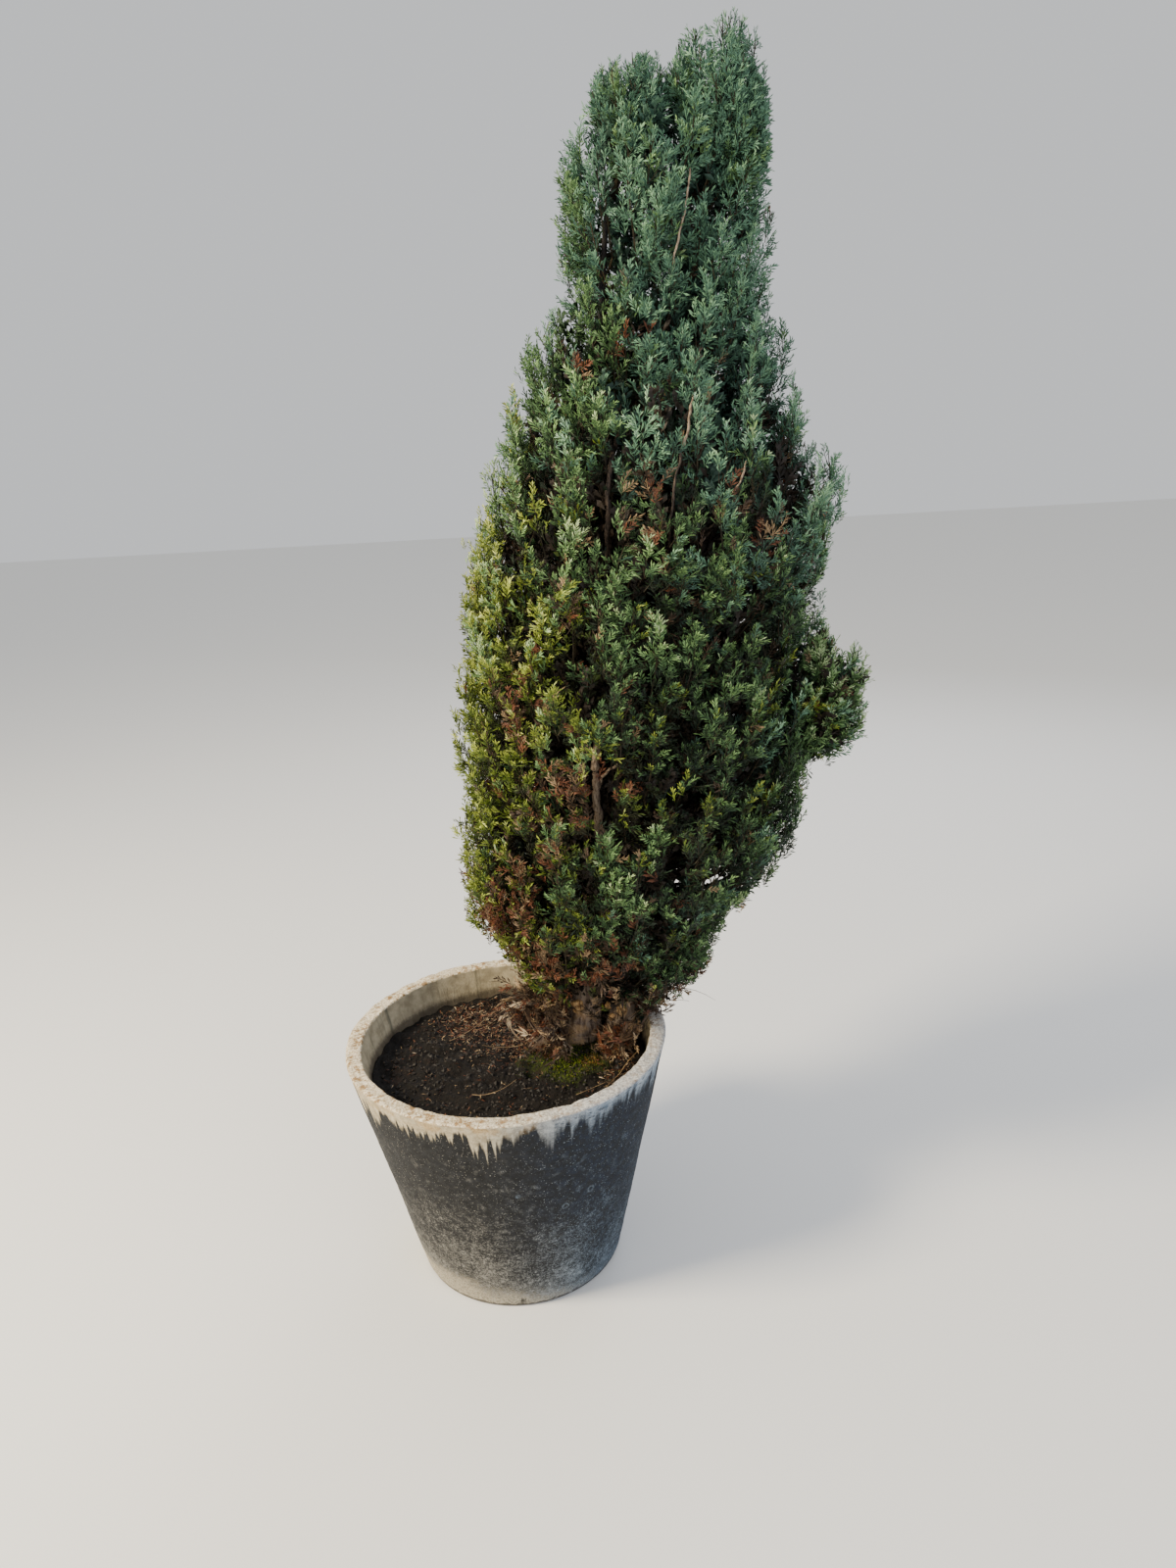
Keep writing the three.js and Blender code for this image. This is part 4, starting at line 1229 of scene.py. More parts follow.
def grow_side_twigs(plumes, count, chance):
    """Base, first direction, plume direction, length and share of side twigs."""
    outward = plumes.outward
    level = unit(np.cross(plumes.along, outward))
    across = turned(level, plumes.along, (plumes.roll - 0.5) * 1.5)
    facing = np.cross(across, plumes.along)
    j = np.arange(count)
    share = SIDE_FIRST + SIDE_SPAN * (j + 0.8 * chance.random((len(outward), count))) / count
    turn = j * GOLDEN_ANGLE + chance.uniform(0, 2 * math.pi, (len(outward), 1))
    turn = turn + chance.normal(0, 0.25, share.shape)
    base, direction = plume_axes(plumes, share)
    radial = leaned(across[:, None], facing[:, None], turn)
    start = unit(leaned(direction, radial, np.interp(share, [0.1, 0.9], SIDE_ANGLE)))
    pointing_out = np.maximum((radial * outward[:, None]).sum(-1), 0)
    egg = np.sqrt(np.maximum(1 - ((share - EGG_MIDDLE) / EGG_REACH) ** 2, 0.1))
    reach = plumes.length[:, None] * SIDE_REACH * egg * (1 - OUTWARD_TRIM * pointing_out)
    return base, start, direction, reach * chance.uniform(0.75, 1.15, share.shape), share


def along_side_twig(base, start, direction, reach, t):
    """A side twig curves inwards: base + reach (t start + bend t t direction)."""
    curve = t * start[:, :, None] + SIDE_BEND * t * t * direction[:, :, None]
    return base[:, :, None] + reach[..., None, None] * curve


def side_sprays(plumes, side_twigs, count, spray_length, chance):
    """Sprays left and right of each side twig, the last in line with it."""
    base, start, direction, reach, share = side_twigs
    n = np.arange(count)
    where = (0.25 + 0.75 * n / max(count - 1, 1))[:, None]
    held = along_side_twig(base, start, direction, reach, where)
    tangent = unit(start[:, :, None] + 2 * SIDE_BEND * where * direction[:, :, None])
    shape = tangent.shape[:-1]
    outwards = np.broadcast_to(plumes.outward[:, None, None], tangent.shape)
    sideways = turned(square_to(outwards, tangent), tangent, np.full(shape, math.pi / 2))
    hand = np.where(n % 2 == 0, 1.0, -1.0) * (n < count - 1)
    opening = SPRAY_ANGLE * hand * chance.uniform(0.7, 1.2, shape)
    aim = leaned(tangent, sideways, opening)
    size = spray_length * (1 - 0.25 * share[..., None]) * chance.uniform(0.75, 1.2, shape)
    number = np.broadcast_to(np.arange(len(reach))[:, None, None], shape)
    place = np.broadcast_to(share[..., None] * 0.6 + 0.4 * where[:, 0], shape)
    return [part.reshape(-1, *part.shape[3:]) for part in (held, aim, outwards, size, number, place)]


def top_sprays(plumes, spray_length, chance):
    """Sprays round the top of each plume's axis by the golden angle."""
    shape = (len(plumes.tip), len(TOP_SHARES))
    share = np.broadcast_to(np.array(TOP_SHARES), shape)
    held, tangent = plume_axes(plumes, share)
    outwards = np.broadcast_to(plumes.outward[:, None], tangent.shape)
    around = np.arange(shape[1]) * GOLDEN_ANGLE + chance.uniform(0, 2 * math.pi, (shape[0], 1))
    sideways = turned(square_to(outwards, tangent), tangent, around)
    opening = np.radians(TOP_ANGLES) * chance.uniform(0.8, 1.2, shape)
    aim = leaned(tangent, sideways, opening)
    size = spray_length * np.array(TOP_SIZES) * chance.uniform(0.85, 1.1, shape)
    number = np.broadcast_to(np.arange(shape[0])[:, None], shape)
    place = np.broadcast_to(share * 0.5 + 0.5, shape)
    return [part.reshape(-1, *part.shape[2:]) for part in (held, aim, outwards, size, number, place)]


def with_radii(routes, radii):
    """Routes, and radii that narrow evenly."""
    return routes, np.broadcast_to(np.linspace(*radii, routes.shape[1]), routes.shape[:2])


def grow_plumes(plumes, side_count, sprays_a_side, spray_length, seed):
    """All sprays of the plumes, and the routes and radii of their twigs."""
    chance = np.random.default_rng(seed)
    side_twigs = grow_side_twigs(plumes, side_count, chance)
    on_sides = side_sprays(plumes, side_twigs, sprays_a_side, spray_length, chance)
    on_top = top_sprays(plumes, spray_length, chance)
    sprays = Sprays(*(np.concatenate(parts) for parts in zip(on_sides, on_top)))
    t = np.linspace(0, 1, SIDE_RINGS + 1)[:, None]
    side_routes = along_side_twig(*side_twigs[:4], t).reshape(-1, SIDE_RINGS + 1, 3)
    axis_share = np.broadcast_to(np.linspace(0, 0.95, PLUME_RINGS + 1), (len(plumes.tip), PLUME_RINGS + 1))
    axis_routes, _ = plume_axes(plumes, axis_share)
    return sprays, [with_radii(axis_routes, PLUME_RADII), with_radii(side_routes, SIDE_RADII)]


print("a side twig is about", round(PLUME_LENGTH * SIDE_REACH * 1000), "mm long")

# %% [markdown]
# ## What a spray is
# A spray is a fan a few centimetres long: an axis with leafy branchlets to its left and right,
# like fingers, each clothed in scale leaves. A picture of a fan on a card would look like paper
# from the side. So a finger is a closed blade of four triangles, folded along its middle. A few
# fans are made, and every spray is one of them, turned, sized and curled.

# %% Spray shapes
FINGER_PAIRS = 5
SPRAY_KINDS = 8
FINGER_WIDTH = 0.043
FINGER_FOLD = 0.03
FINGER_SPAN = (0.06, 0.74)
FINGER_ANGLE = (40, 16)
FINGER_REACH = (0.45, 0.42)
WIDEST_AT = 0.66
BLADE_FACES = np.array([[0, 2, 1], [0, 1, 3], [0, 3, 2], [1, 2, 3]])


def blades(roots, tips, half_width, fold, chance):
    """Root, tip and two side corners of each folded blade."""
    along = tips - roots
    normal = square_to(np.broadcast_to(UP, along.shape), unit(along))
    normal = turned(normal, unit(along), chance.normal(0, 0.55, len(along)))
    side = np.cross(unit(along), normal)
    widest = roots + WIDEST_AT * along
    left = widest - side * half_width[:, None] + normal * fold
    right = widest + side * half_width[:, None] + normal * fold
    return np.stack([roots, tips, left, right], 1)


def spray_kind(seed, pairs=FINGER_PAIRS, width=FINGER_WIDTH):
    """A fan of unit length along +Y: pairs of fingers, a last one and the axis."""
    chance = np.random.default_rng(seed)
    count = 2 * pairs
    k = np.repeat(np.arange(pairs), 2)
    hand = np.tile([-1.0, 1.0], pairs)
    step = k + 0.3 + 0.25 * hand + 0.2 * chance.normal(size=count)
    share = FINGER_SPAN[0] + FINGER_SPAN[1] * step / pairs
    angle = np.radians(FINGER_ANGLE[0] - FINGER_ANGLE[1] * share + chance.normal(0, 8, count))
    reach = FINGER_REACH[0] * (1 - FINGER_REACH[1] * share) * chance.uniform(0.75, 1.2, count)
    heading = np.stack([hand * np.sin(angle), np.cos(angle), chance.normal(0.08, 0.32, count)], 1)
    roots = np.stack([0 * share, share, 0 * share], 1)
    ends = roots + reach[:, None] * heading
    roots = np.vstack([roots, [0, 0.62, 0], [0, 0, 0]])
    ends = np.vstack([ends, [0, 1.02, 0.02], [0, 0.8, 0]])
    half = np.concatenate([width * (1 - 0.15 * share), [width, width * 0.5]])
    shade = np.concatenate([smooth_step(share + 0.3 * reach, 0.15, 0.95), [1.0, 0.0]])
    return blades(roots, ends, half, FINGER_FOLD, chance), shade


def spray_points(sprays, kinds, seed, curl=-0.12, curl_play=0.14):
    """Corners of all blades, as (spray, blade, 4, 3), and their shades.

    A fan is bent along its length: z + bend y y, with y shortened by 0.4 bend bend y y y.
    """
    count = len(sprays.base)
    chance = np.random.default_rng(seed)
    shapes = np.stack([kind[0] for kind in kinds])
    shades = np.stack([kind[1] for kind in kinds])
    which = chance.integers(len(kinds), size=count)
    normal = turned(square_to(sprays.outward, sprays.aim), sprays.aim, chance.normal(0, 0.75, count))
    across = np.cross(sprays.aim, normal)
    bend = chance.normal(curl, curl_play, count)[:, None, None]
    lean = chance.normal(0, 0.1, count)[:, None, None]
    x, y, z = np.moveaxis(shapes[which], -1, 0)
    x = x + lean * y * y
    y, z = y - 0.4 * bend * bend * y ** 3, z + bend * y * y
    turn = np.stack([across, sprays.aim, normal], 1)
    placed = np.einsum("nbcx,nxk->nbck", np.stack([x, y, z], -1), turn)
    return sprays.base[:, None, None] + sprays.size[:, None, None, None] * placed, shades[which]


KINDS = [spray_kind(61 + n) for n in range(SPRAY_KINDS)]
COARSE_KINDS = [spray_kind(91 + n, pairs=4, width=0.045) for n in range(4)]
OLD_KINDS = [spray_kind(95 + n, pairs=3, width=0.095) for n in range(4)]
print("blades in a spray:", [len(kinds[0][0]) for kinds in (KINDS, COARSE_KINDS, OLD_KINDS)])

# %% [markdown]
# ## Ranks of plumes
# Behind the plumes that show stand others, or the crown would be an empty shell. Each rank is
# an outer one moved in, let down a little and turned a step round, so that it fills the gaps before
# it. The first two are green, further in the plumes are coarser and half dead, and in the middle
# is old brown growth that light barely reaches, painted near black. Each rank further in is painted
# darker, as shade.

# %% Move a rank inwards
OUTER_SETBACK = 0.004
BETWEEN_ON_A_BLOCK = (30, 60, 70)
SHORTER_ON_A_BLOCK = (1.0, 0.75, 0.75)
STEP_ROUND = 0.1


def middle_of(tips, group):
    """The crown's axis level with each tip, or the middle of its block."""
    across, _, _ = crown_at(tips[:, 2])
    axis = np.stack([across, np.full_like(across, CROWN_MIDDLE_Y), tips[:, 2]], -1)
    for number, (middle, _) in enumerate(BLOCKS.values(), 1):
        axis[group == number] = middle
    return axis


def set_back(plumes, share, drop, seed, step=STEP_ROUND):
    """Plumes moved in towards their middle, down, and a step round it."""
    axis = middle_of(plumes.tip, plumes.group)
    spin = np.random.default_rng(seed).normal(step, 0.08, len(plumes.tip))
    up = np.broadcast_to(UP, plumes.tip.shape)
    moved = axis + turned((plumes.tip - axis) * share, up, spin) - UP * drop
    roll = np.random.default_rng(seed + 1).random(len(plumes.tip))
    return plumes._replace(tip=moved, along=turned(plumes.along, up, spin),
                           outward=turned(plumes.outward, up, spin), roll=roll)


def between_plumes(plumes, share, drop, seed):
    """A rank half a row down and half a step round, with more on each block."""
    crown = Plumes(*(part[plumes.group == 0] for part in plumes))
    offset = (crown.tip - middle_of(crown.tip, crown.group))[:, :2]
    half_step = 0.5 * PLUME_SPACING / np.maximum(np.hypot(*offset.T), NEAR_AXIS)
    parts = [set_back(crown, share, drop, seed, half_step)]
    for number, (middle, radii) in enumerate(BLOCKS.values(), 1):
        smaller = [share * radius for radius in radii]
        block = block_plumes(middle, smaller, seed + number, BETWEEN_ON_A_BLOCK[number - 1])
        block[4] = block[4] * SHORTER_ON_A_BLOCK[number - 1]
        parts.append([*block, np.full(len(block[0]), number)])
    return Plumes(*(np.concatenate(columns) for columns in zip(*parts)))


outer = solid_plumes._replace(tip=solid_plumes.tip - solid_plumes.outward * OUTER_SETBACK)
between = between_plumes(outer, share=0.97, drop=0.04, seed=75)
second = set_back(between, share=0.89, drop=0.02, seed=81)
third = set_back(outer, share=0.76, drop=0.01, seed=83)
middle = set_back(outer, share=0.46, drop=0.01, seed=87)
print("plumes in each rank:", [len(rank.tip) for rank in (outer, between, second, third, middle)])

# %% Grow every rank
SPRAY_LENGTH = 0.034


def shorter_at_top(sprays):
    """Smaller sprays where the crown is slender, so that none sticks out."""
    return sprays._replace(size=sprays.size * np.interp(sprays.base[:, 2], [1.5, 1.8], [1.0, 0.65]))


outer_sprays, outer_twigs = grow_plumes(outer, 10, 4, SPRAY_LENGTH, seed=71)
between_sprays, between_twigs = grow_plumes(between, 7, 3, SPRAY_LENGTH, seed=77)
second_sprays, second_twigs = grow_plumes(second, 4, 2, SPRAY_LENGTH * 1.3, seed=82)
third_sprays, _ = grow_plumes(third, 3, 2, SPRAY_LENGTH * 1.8, seed=84)
middle_sprays, _ = grow_plumes(middle, 3, 2, SPRAY_LENGTH * 2.2, seed=88)
third_sprays, middle_sprays = shorter_at_top(third_sprays), shorter_at_top(middle_sprays)
print(len(outer_sprays.base), "sprays in the outer rank")

# %% [markdown]
# ## Colours dealt out by spray
# The left side of the foliage is yellower, partly as painted sunlight, the right side and the top
# are bluer, partly as painted sky shade and haze, and the rest is a plain green. Tips are pale, and
# what lies deep between the plumes is painted dark as shade. A material could find this from the
# place of a point, but a leaf would then change colour along its length. So each blade gets a
# number for how light it is painted, and the number picks a tone of its family. Dead sprays are
# rust, brown or straw: a few anywhere, and most at the spots that the photograph shows.

# %% Tones
# Each tone as the two shades that it varies between, from the darkest up: a family runs from painted shade
# up to painted light and pale tips
WARM = {"deep": ("#191c08", "#252a0b"), "green": ("#334012", "#404f17"), "olive": ("#556618", "#647320"),
        "sunny": ("#7f8c2e", "#8f9a3a"), "pale": ("#a8b15a", "#b8c16a")}
GREEN = {"deep": ("#101d0e", "#182713"), "green": ("#23391e", "#2f4926"), "leaf": ("#405c33", "#4d6b3e"),
         "fresh": ("#668550", "#749459"), "pale": ("#9aaf7d", "#abbe8c")}
COOL = {"deep": ("#22382e", "#2c4638"), "shade": ("#345241", "#405f4d"), "blue": ("#496b53", "#557960"),
        "sea": ("#648866", "#709472"), "silver": ("#86a685", "#95b394")}
DEAD_LOOKS = {"rust": ("#472616", "#6f4127"), "straw": ("#6b563e", "#9a805e"),
              "brown": ("#35271c", "#4c3a2a"), "bleached": ("#8d7a62", "#b3a086")}
# Old growth deep in the crown: brown painted near black, as shade
OLD_PAINTED_SHADE = ("#1b160f", "#2b2118")
TONE_COUNT = len(WARM)

# Every look of a spray, as its name, its shades and the slot of its pieces
LOOKS = [(name, DEAD_LOOKS[name], "foliage_skirt") for name in ("rust", "straw", "brown")]
LOOKS += [("old", OLD_PAINTED_SHADE, "foliage_shaded")]
LOOKS += [(f"warm_{name}", shades, "foliage_sunny") for name, shades in WARM.items()]
LOOKS += [(f"green_{name}", shades, "foliage_green") for name, shades in GREEN.items()]
LOOKS += [(f"cool_{name}", shades, "foliage_shaded") for name, shades in COOL.items()]
RUSTY, STRAWY, BROWNISH, OLD_SHADE_LOOK, FIRST_GREEN = range(5)


def mottled(name, noise, dark, light, roughness, gloss):
    """A finish whose colour plays between two shades."""
    made = Finish(name, gloss)
    return made.done(made.mix(made.noise(*noise).step(0.35, 0.65), dark, light), roughness)


def foliage_finish(name, dark, light):
    """Matt leaves."""
    return mottled(f"foliage_{name}", (45, 2), dark, light, 0.62, 0.35)


def add_blades(name, points, finish, slot):
    """One mesh of many folded blades."""
    faces = BLADE_FACES[None] + 4 * np.arange(len(points))[:, None, None]
    return add_piece(name, points, faces.reshape(-1, 3), finish, slot)


FINISHES = {name: foliage_finish(name, *shades) for name, shades, _ in LOOKS}
print(len(LOOKS), "looks of sprays")

# %% Dead, dim and bright places
# Dead sprays on the front, as x, z and reach
DEAD_SPOTS = [
    (0.198, 1.672, 0.012), (0.264, 1.676, 0.008), (0.287, 1.481, 0.026), (0.263, 1.439, 0.022),
    (0.178, 1.498, 0.013), (0.404, 1.446, 0.012), (0.456, 1.468, 0.018), (0.492, 1.396, 0.014),
    (0.041, 1.274, 0.012), (0.102, 1.264, 0.009), (0.159, 1.278, 0.02), (0.339, 1.269, 0.011),
    (0.045, 1.125, 0.028), (0.125, 1.005, 0.024), (0.172, 0.992, 0.028), (0.24, 1.015, 0.015),
    (0.082, 0.904, 0.022), (0.032, 0.83, 0.02), (0.029, 0.767, 0.026), (0.071, 0.644, 0.026),
    (0.403, 0.942, 0.009), (0.26, 0.95, 0.009), (0.169, 0.685, 0.016), (-0.002, 0.72, 0.026),
    (0.207, 0.623, 0.03), (0.297, 1.522, 0.015), (0.205, 1.455, 0.014),
]
DEAD_SPREAD = 1.7
DEAD_SPOTS_ELSEWHERE = 30

# Patches of the front painted darker as shade and lighter as light, as x and z
DIM_SPOTS = [(0.1, 1.367), (0.185, 1.361), (0.172, 0.922), (0.367, 1.011), (0.365, 0.908),
             (0.165, 0.794), (-0.035, 0.881), (-0.031, 0.991), (0.095, 1.64), (0.352, 1.564),
             (0.365, 1.46), (0.466, 1.437), (0.215, 1.951), (0.18, 1.13), (0.04, 1.01)]
BRIGHT_SPOTS = [(0.207, 1.568), (0.475, 1.547), (0.27, 1.038), (0.26, 0.921), (0.183, 1.031),
                (0.217, 1.667), (0.31, 1.859), (0.405, 1.949), (0.314, 1.953), (0.103, 1.465),
                (0.29, 1.57), (0.3, 1.76)]
SPOT_REACH = 0.042


def dead_places():
    """Middle and reach of the dead spots, of the front and the other sides."""
    front = [(*on_front(x, z), DEAD_SPREAD * reach) for x, z, reach in DEAD_SPOTS]
    heights, bearings, draws = over_other_sides(DEAD_SPOTS_ELSEWHERE, 53, 0.6, 1.3, -20, 220)
    spots = crown_point(heights, bearings, 0.96)
    return front + [(*spot, 0.01 + 0.014 * draw) for spot, draw in zip(spots, draws)]


def patch_share(points, patches):
    """1 in a patch, falling to 0 at twice its reach."""
    share = np.zeros(len(points))
    for *middle, reach in patches:
        distance = np.linalg.norm(points - np.array(middle), axis=1)
        share = np.maximum(share, smooth_step(distance, 2 * reach, 0.5 * reach))
    return share


DEAD_PLACES = dead_places()
DIM_PLACES = [(*on_front(x, z), SPOT_REACH) for x, z in DIM_SPOTS]
BRIGHT_PLACES = [(*on_front(x, z), SPOT_REACH) for x, z in BRIGHT_SPOTS]
print(len(DEAD_PLACES), "dead places")

# %% [markdown]
# ## Which sprays stay
# Every rank has grown without regard to the hollows, so the sprays that lie in them go now, whole.
# Chance makes the edge of each hollow soft, and slow noise makes the crown's outline ragged.

# %% Thin out the ranks
FRINGE = 0.008
FRINGE_SIZE = 0.11
SMOOTH_TOP = (1.9, 2.1)
DEAD_FOOT = (0.6, 0.5)
STAYS_AT_FOOT = 0.25


def along_spray(sprays, share):
    """The point at a share of each spray's length."""
    return sprays.base + share * sprays.aim * sprays.size[:, None]


def thin_out(sprays, seed, hollowed=1.25):
    """The sprays that stay: none outside or in open lines, few in hollows."""
    chance = np.random.default_rng(seed)
    base, middle, tip = (along_spray(sprays, share) for share in (0.0, 0.6, 1.0))
    count = len(base)
    ragged = FRINGE * (1 + waves(tip, FRINGE_SIZE, 17)) * (1 - 0.8 * smooth_step(tip[:, 2], *SMOOTH_TOP))
    keep = depth_inside(tip) > -ragged
    keep &= chance.random(count) > hollowed * largest_share(middle, HOLLOW_CONES)
    keep &= chance.random(count) > 1.6 * largest_share(middle, CLEAR_LINES)
    keep &= largest_share(tip, CLEAR_LINES) < 0.8
    low = base[:, 2] < FOOT_TOP
    for points in (base, middle, tip):
        keep[low] &= largest_share(points[low], FOOT_LINES) < 0.5
    for share in (0.0, 0.35, 0.7, 1.0):
        keep &= largest_share(along_spray(sprays, share), WINDOW_LINES) < 0.5
    if hollowed == 0.0:
        keep &= np.maximum(largest_share(base, CLEAR_LINES), largest_share(middle, CLEAR_LINES)) < 0.2
    else:
        facing_out = (sprays.aim * sprays.outward).sum(1)
        keep &= chance.random(count) > 0.85 * smooth_step(facing_out, 0.0, -0.4)
    above_foot = smooth_step(base[:, 2], *DEAD_FOOT[::-1])
    keep &= chance.random(count) < above_foot + STAYS_AT_FOOT
    return Sprays(*(part[keep] for part in sprays))


outer_sprays = thin_out(outer_sprays, 100)
between_sprays = thin_out(between_sprays, 105)
second_sprays = thin_out(second_sprays, 110, hollowed=0.6)
third_sprays = thin_out(third_sprays, 120, hollowed=0.0)
middle_sprays = thin_out(middle_sprays, 130, hollowed=0.0)
ranks_left = (outer_sprays, between_sprays, second_sprays, third_sprays, middle_sprays)
print("sprays left in each rank:", [len(rank.base) for rank in ranks_left])

# %% How light a spray is
SHADE_DEPTH = 0.085
PLUME_PLAY = 0.09
SPRAY_PLAY = 0.06
HUE_PLAY = (0.27, 0.14)
GREEN_BELOW = 0.35
COOL_BELOW = -0.55
ARM = (0.52, 0.6)
FLANK = (0.4, 0.5)
HIGH = (1.4, 1.85)


def spray_light(sprays, side, chance):
    """How light each spray is painted: painted shade deep inside, in hollows and dim spots, painted light in
    bright spots and sunlight on the left, lighter towards plume tips, and painted haze at the top.
    """
    x, _, z = sprays.base.T
    tip = along_spray(sprays, 1.0)
    # Painted shade: darker the deeper a spray's tip lies inside the crown
    exposed = smooth_step(depth_inside(tip), SHADE_DEPTH, 0.0)
    plume_play = chance.normal(0, PLUME_PLAY, sprays.plume.max() + 1)[sprays.plume]
    spray_play = chance.normal(0, SPRAY_PLAY, len(tip))
    high = smooth_step(z, *HIGH)
    low = smooth_step(z, 1.0, 0.7) * (side > -0.6)
    arm = smooth_step(x, *ARM)
    flank = smooth_step(x, *FLANK) * smooth_step(z, 1.56, 1.46) * smooth_step(z, 1.18, 1.28) * (1 - arm)
    # Painted sunlight on the left, painted shade low down and on the right flank, and lighter on the side
    # arm
    light = 0.32 * exposed + 0.42 * smooth_step(sprays.place, 0.25, 1.0) - 0.1 * side
    light = light - 0.1 * low + 0.2 * arm - 0.07 * flank + 0.06 * smooth_step(z, 1.2, 1.4)
    light = light + 0.18 * high * (smooth_step(x, 0.28, 0.42) - 0.35) - 0.03
    # Painted light in the bright spots and painted shade in the dim ones
    light = light + 0.2 * patch_share(sprays.base, BRIGHT_PLACES)
    light = light - 0.19 * patch_share(sprays.base, DIM_PLACES)
    # Painted shade in the hollows
    light = light + plume_play + spray_play - 0.25 * largest_share(tip, HOLLOW_CONES)
    # Painted haze at the top: lights and darks drawn towards the middle
    return light + 0.68 * high * (0.5 - light)


def spray_family(sprays, side, chance):
    """0 warm, 1 green or 2 cool for each spray, cooler to the right and upwards: warm partly as painted
    sunlight on the left, cool partly as painted sky shade on the right and painted haze at the top.
    """
    z = sprays.base[:, 2]
    cool = smooth_step(z, 1.1, 1.75)
    top = smooth_step(z, 1.6, 1.9)
    lean = np.where(side < 0, 0.88, 0.3 + 0.25 * smooth_step(z, 1.1, 1.4))
    hue = 0.08 - lean * (1 - 0.3 * cool - 0.5 * top) * side - cool
    hue = hue + chance.normal(0, HUE_PLAY[0], sprays.plume.max() + 1)[sprays.plume]
    hue = hue + chance.normal(0, HUE_PLAY[1], len(z))
    return (hue < GREEN_BELOW).astype(int) + (hue < COOL_BELOW)


print("shaded from", SHADE_DEPTH, "m inside")

# %% Deal out the looks
DEAD_IN_SPOTS = 0.8
DEAD_AT_FOOT = 0.8
DEAD_LOW_LEFT = 0.06


def dead_chance(sprays, dead_share):
    """How likely each spray is dead, and how deep it lies in a dead spot."""
    base, place = sprays.base, sprays.place
    spot = patch_share(base, DEAD_PLACES)
    likely = dead_share + 0.1 * smooth_step(place, 0.35, 0.1)
    likely = likely * smooth_step(base[:, 2], 1.9, 1.55) + DEAD_IN_SPOTS * spot
    low_left = smooth_step(base[:, 2], 1.05, 0.75) * smooth_step(base[:, 0], 0.2, 0.02)
    likely = likely + DEAD_LOW_LEFT * low_left * (1 + waves(base, 0.09, 23))
    foot = smooth_step(base[:, 2] + 0.03 * waves(base, 0.08, 19), *DEAD_FOOT)
    return likely + DEAD_AT_FOOT * foot, spot


def deal(sprays, kinds, plumes, painted_shade, dead_share, seed, old_share=0.0):
    """Corners and looks of blades: rust, straw, brown, old, then the greens."""
    points, shade = spray_points(sprays, kinds, seed + 1)
    side = plumes.outward[sprays.plume, 0]
    chance = np.random.default_rng(seed + 2)
    light = spray_light(sprays, side, chance)
    family = spray_family(sprays, side, chance)
    # Less spread from root to tip at the top, for the painted haze
    steep = 0.3 - 0.16 * smooth_step(sprays.base[:, 2], *HIGH)
    light = (light - painted_shade)[:, None] + steep[:, None] * (shade - 0.55)
    tone = np.clip(np.floor(light * TONE_COUNT), 0, TONE_COUNT - 1).astype(int)
    tone = tone + FIRST_GREEN + TONE_COUNT * family[:, None]

    chance = np.random.default_rng(seed)
    likely, spot = dead_chance(sprays, dead_share)
    dead = chance.random(len(likely)) < likely
    rusty = 0.15 + 0.45 * smooth_step(spot, 0.2, 0.6)
    draw = chance.random(len(likely))
    kind = np.where(draw < rusty, RUSTY, np.where(draw < rusty + 0.25, STRAWY, BROWNISH))
    tone[dead] = kind[dead][:, None]
    # Old growth inside, painted near black as shade
    old = chance.random(len(likely)) < old_share * smooth_step(sprays.base[:, 2], 1.75, 1.35)
    tone[old] = OLD_SHADE_LOOK
    return points.reshape(-1, 4, 3), tone.ravel()


# The fourth number is how much darker each rank is painted, as shade deeper in the crown
dealt = [deal(outer_sprays, KINDS, outer, 0.0, 0.006, 101),
         deal(between_sprays, KINDS, between, 0.04, 0.035, 106),
         deal(second_sprays, COARSE_KINDS, second, 0.14, 0.18, 111),
         deal(third_sprays, OLD_KINDS, third, 0.3, 0.0, 121, old_share=0.8),
         deal(middle_sprays, OLD_KINDS, middle, 0.3, 0.0, 131, old_share=0.95)]
leaf_blades = np.concatenate([points for points, _ in dealt])
leaf_tones = np.concatenate([tone for _, tone in dealt])
print(len(leaf_blades) * len(BLADE_FACES), "triangles of foliage")

# %% Foliage pieces
# A look with too many blades for a piece is cut into pieces from the bottom up
MOST_BLADES = 49000
FOLIAGE_NODES = [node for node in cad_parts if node.startswith("foliage_")]

for number, (name, _, slot) in enumerate(LOOKS):
    chosen = leaf_blades[leaf_tones == number]
    pieces = max(1, math.ceil(len(chosen) / MOST_BLADES))
    order = np.argsort(chosen[:, 0, 2], kind="stable")
    for part, share in enumerate(np.array_split(order, pieces)):
        piece_name = f"sprays_{name}" if pieces == 1 else f"sprays_{name}_{part + 1}"
        piece = add_blades(piece_name, chosen[share], FINISHES[name], slot)
        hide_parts(*FOLIAGE_NODES)

# %% [markdown]
# ## Twigs and boughs
# Every plume hangs on a thin branch that rises from the nearer stem, and the boughs of the
# solids are the thickest of these. Thousands of curve objects would be slow, so all the routes are
# worked out together, and each gets a closed tube of three or four sides.

# %% Branches
BRANCH_RINGS = 6
BRANCH_DROP = 0.5
BRANCH_SAG = 0.12
BRANCH_DEPTH = 0.01
TWIG_DEPTH = 0.004
OPEN_SHARE = 0.5


def nearer_stem(points):
    """Where a branch to each point leaves the nearer stem, lower down."""
    options = []
    for stations in (LEFT_STEM, RIGHT_STEM):
        route = smooth_route(stations, 200)
        away = np.linalg.norm((points - at_height(route, points[:, 2]))[:, :2], axis=1)
        low = np.clip(points[:, 2] - BRANCH_DROP * away, route[0, 2] + 0.03, route[-1, 2])
        options.append((away, at_height(route, low)))
    (left_away, left), (right_away, right) = options
    return np.where((left_away < right_away)[:, None], left, right)


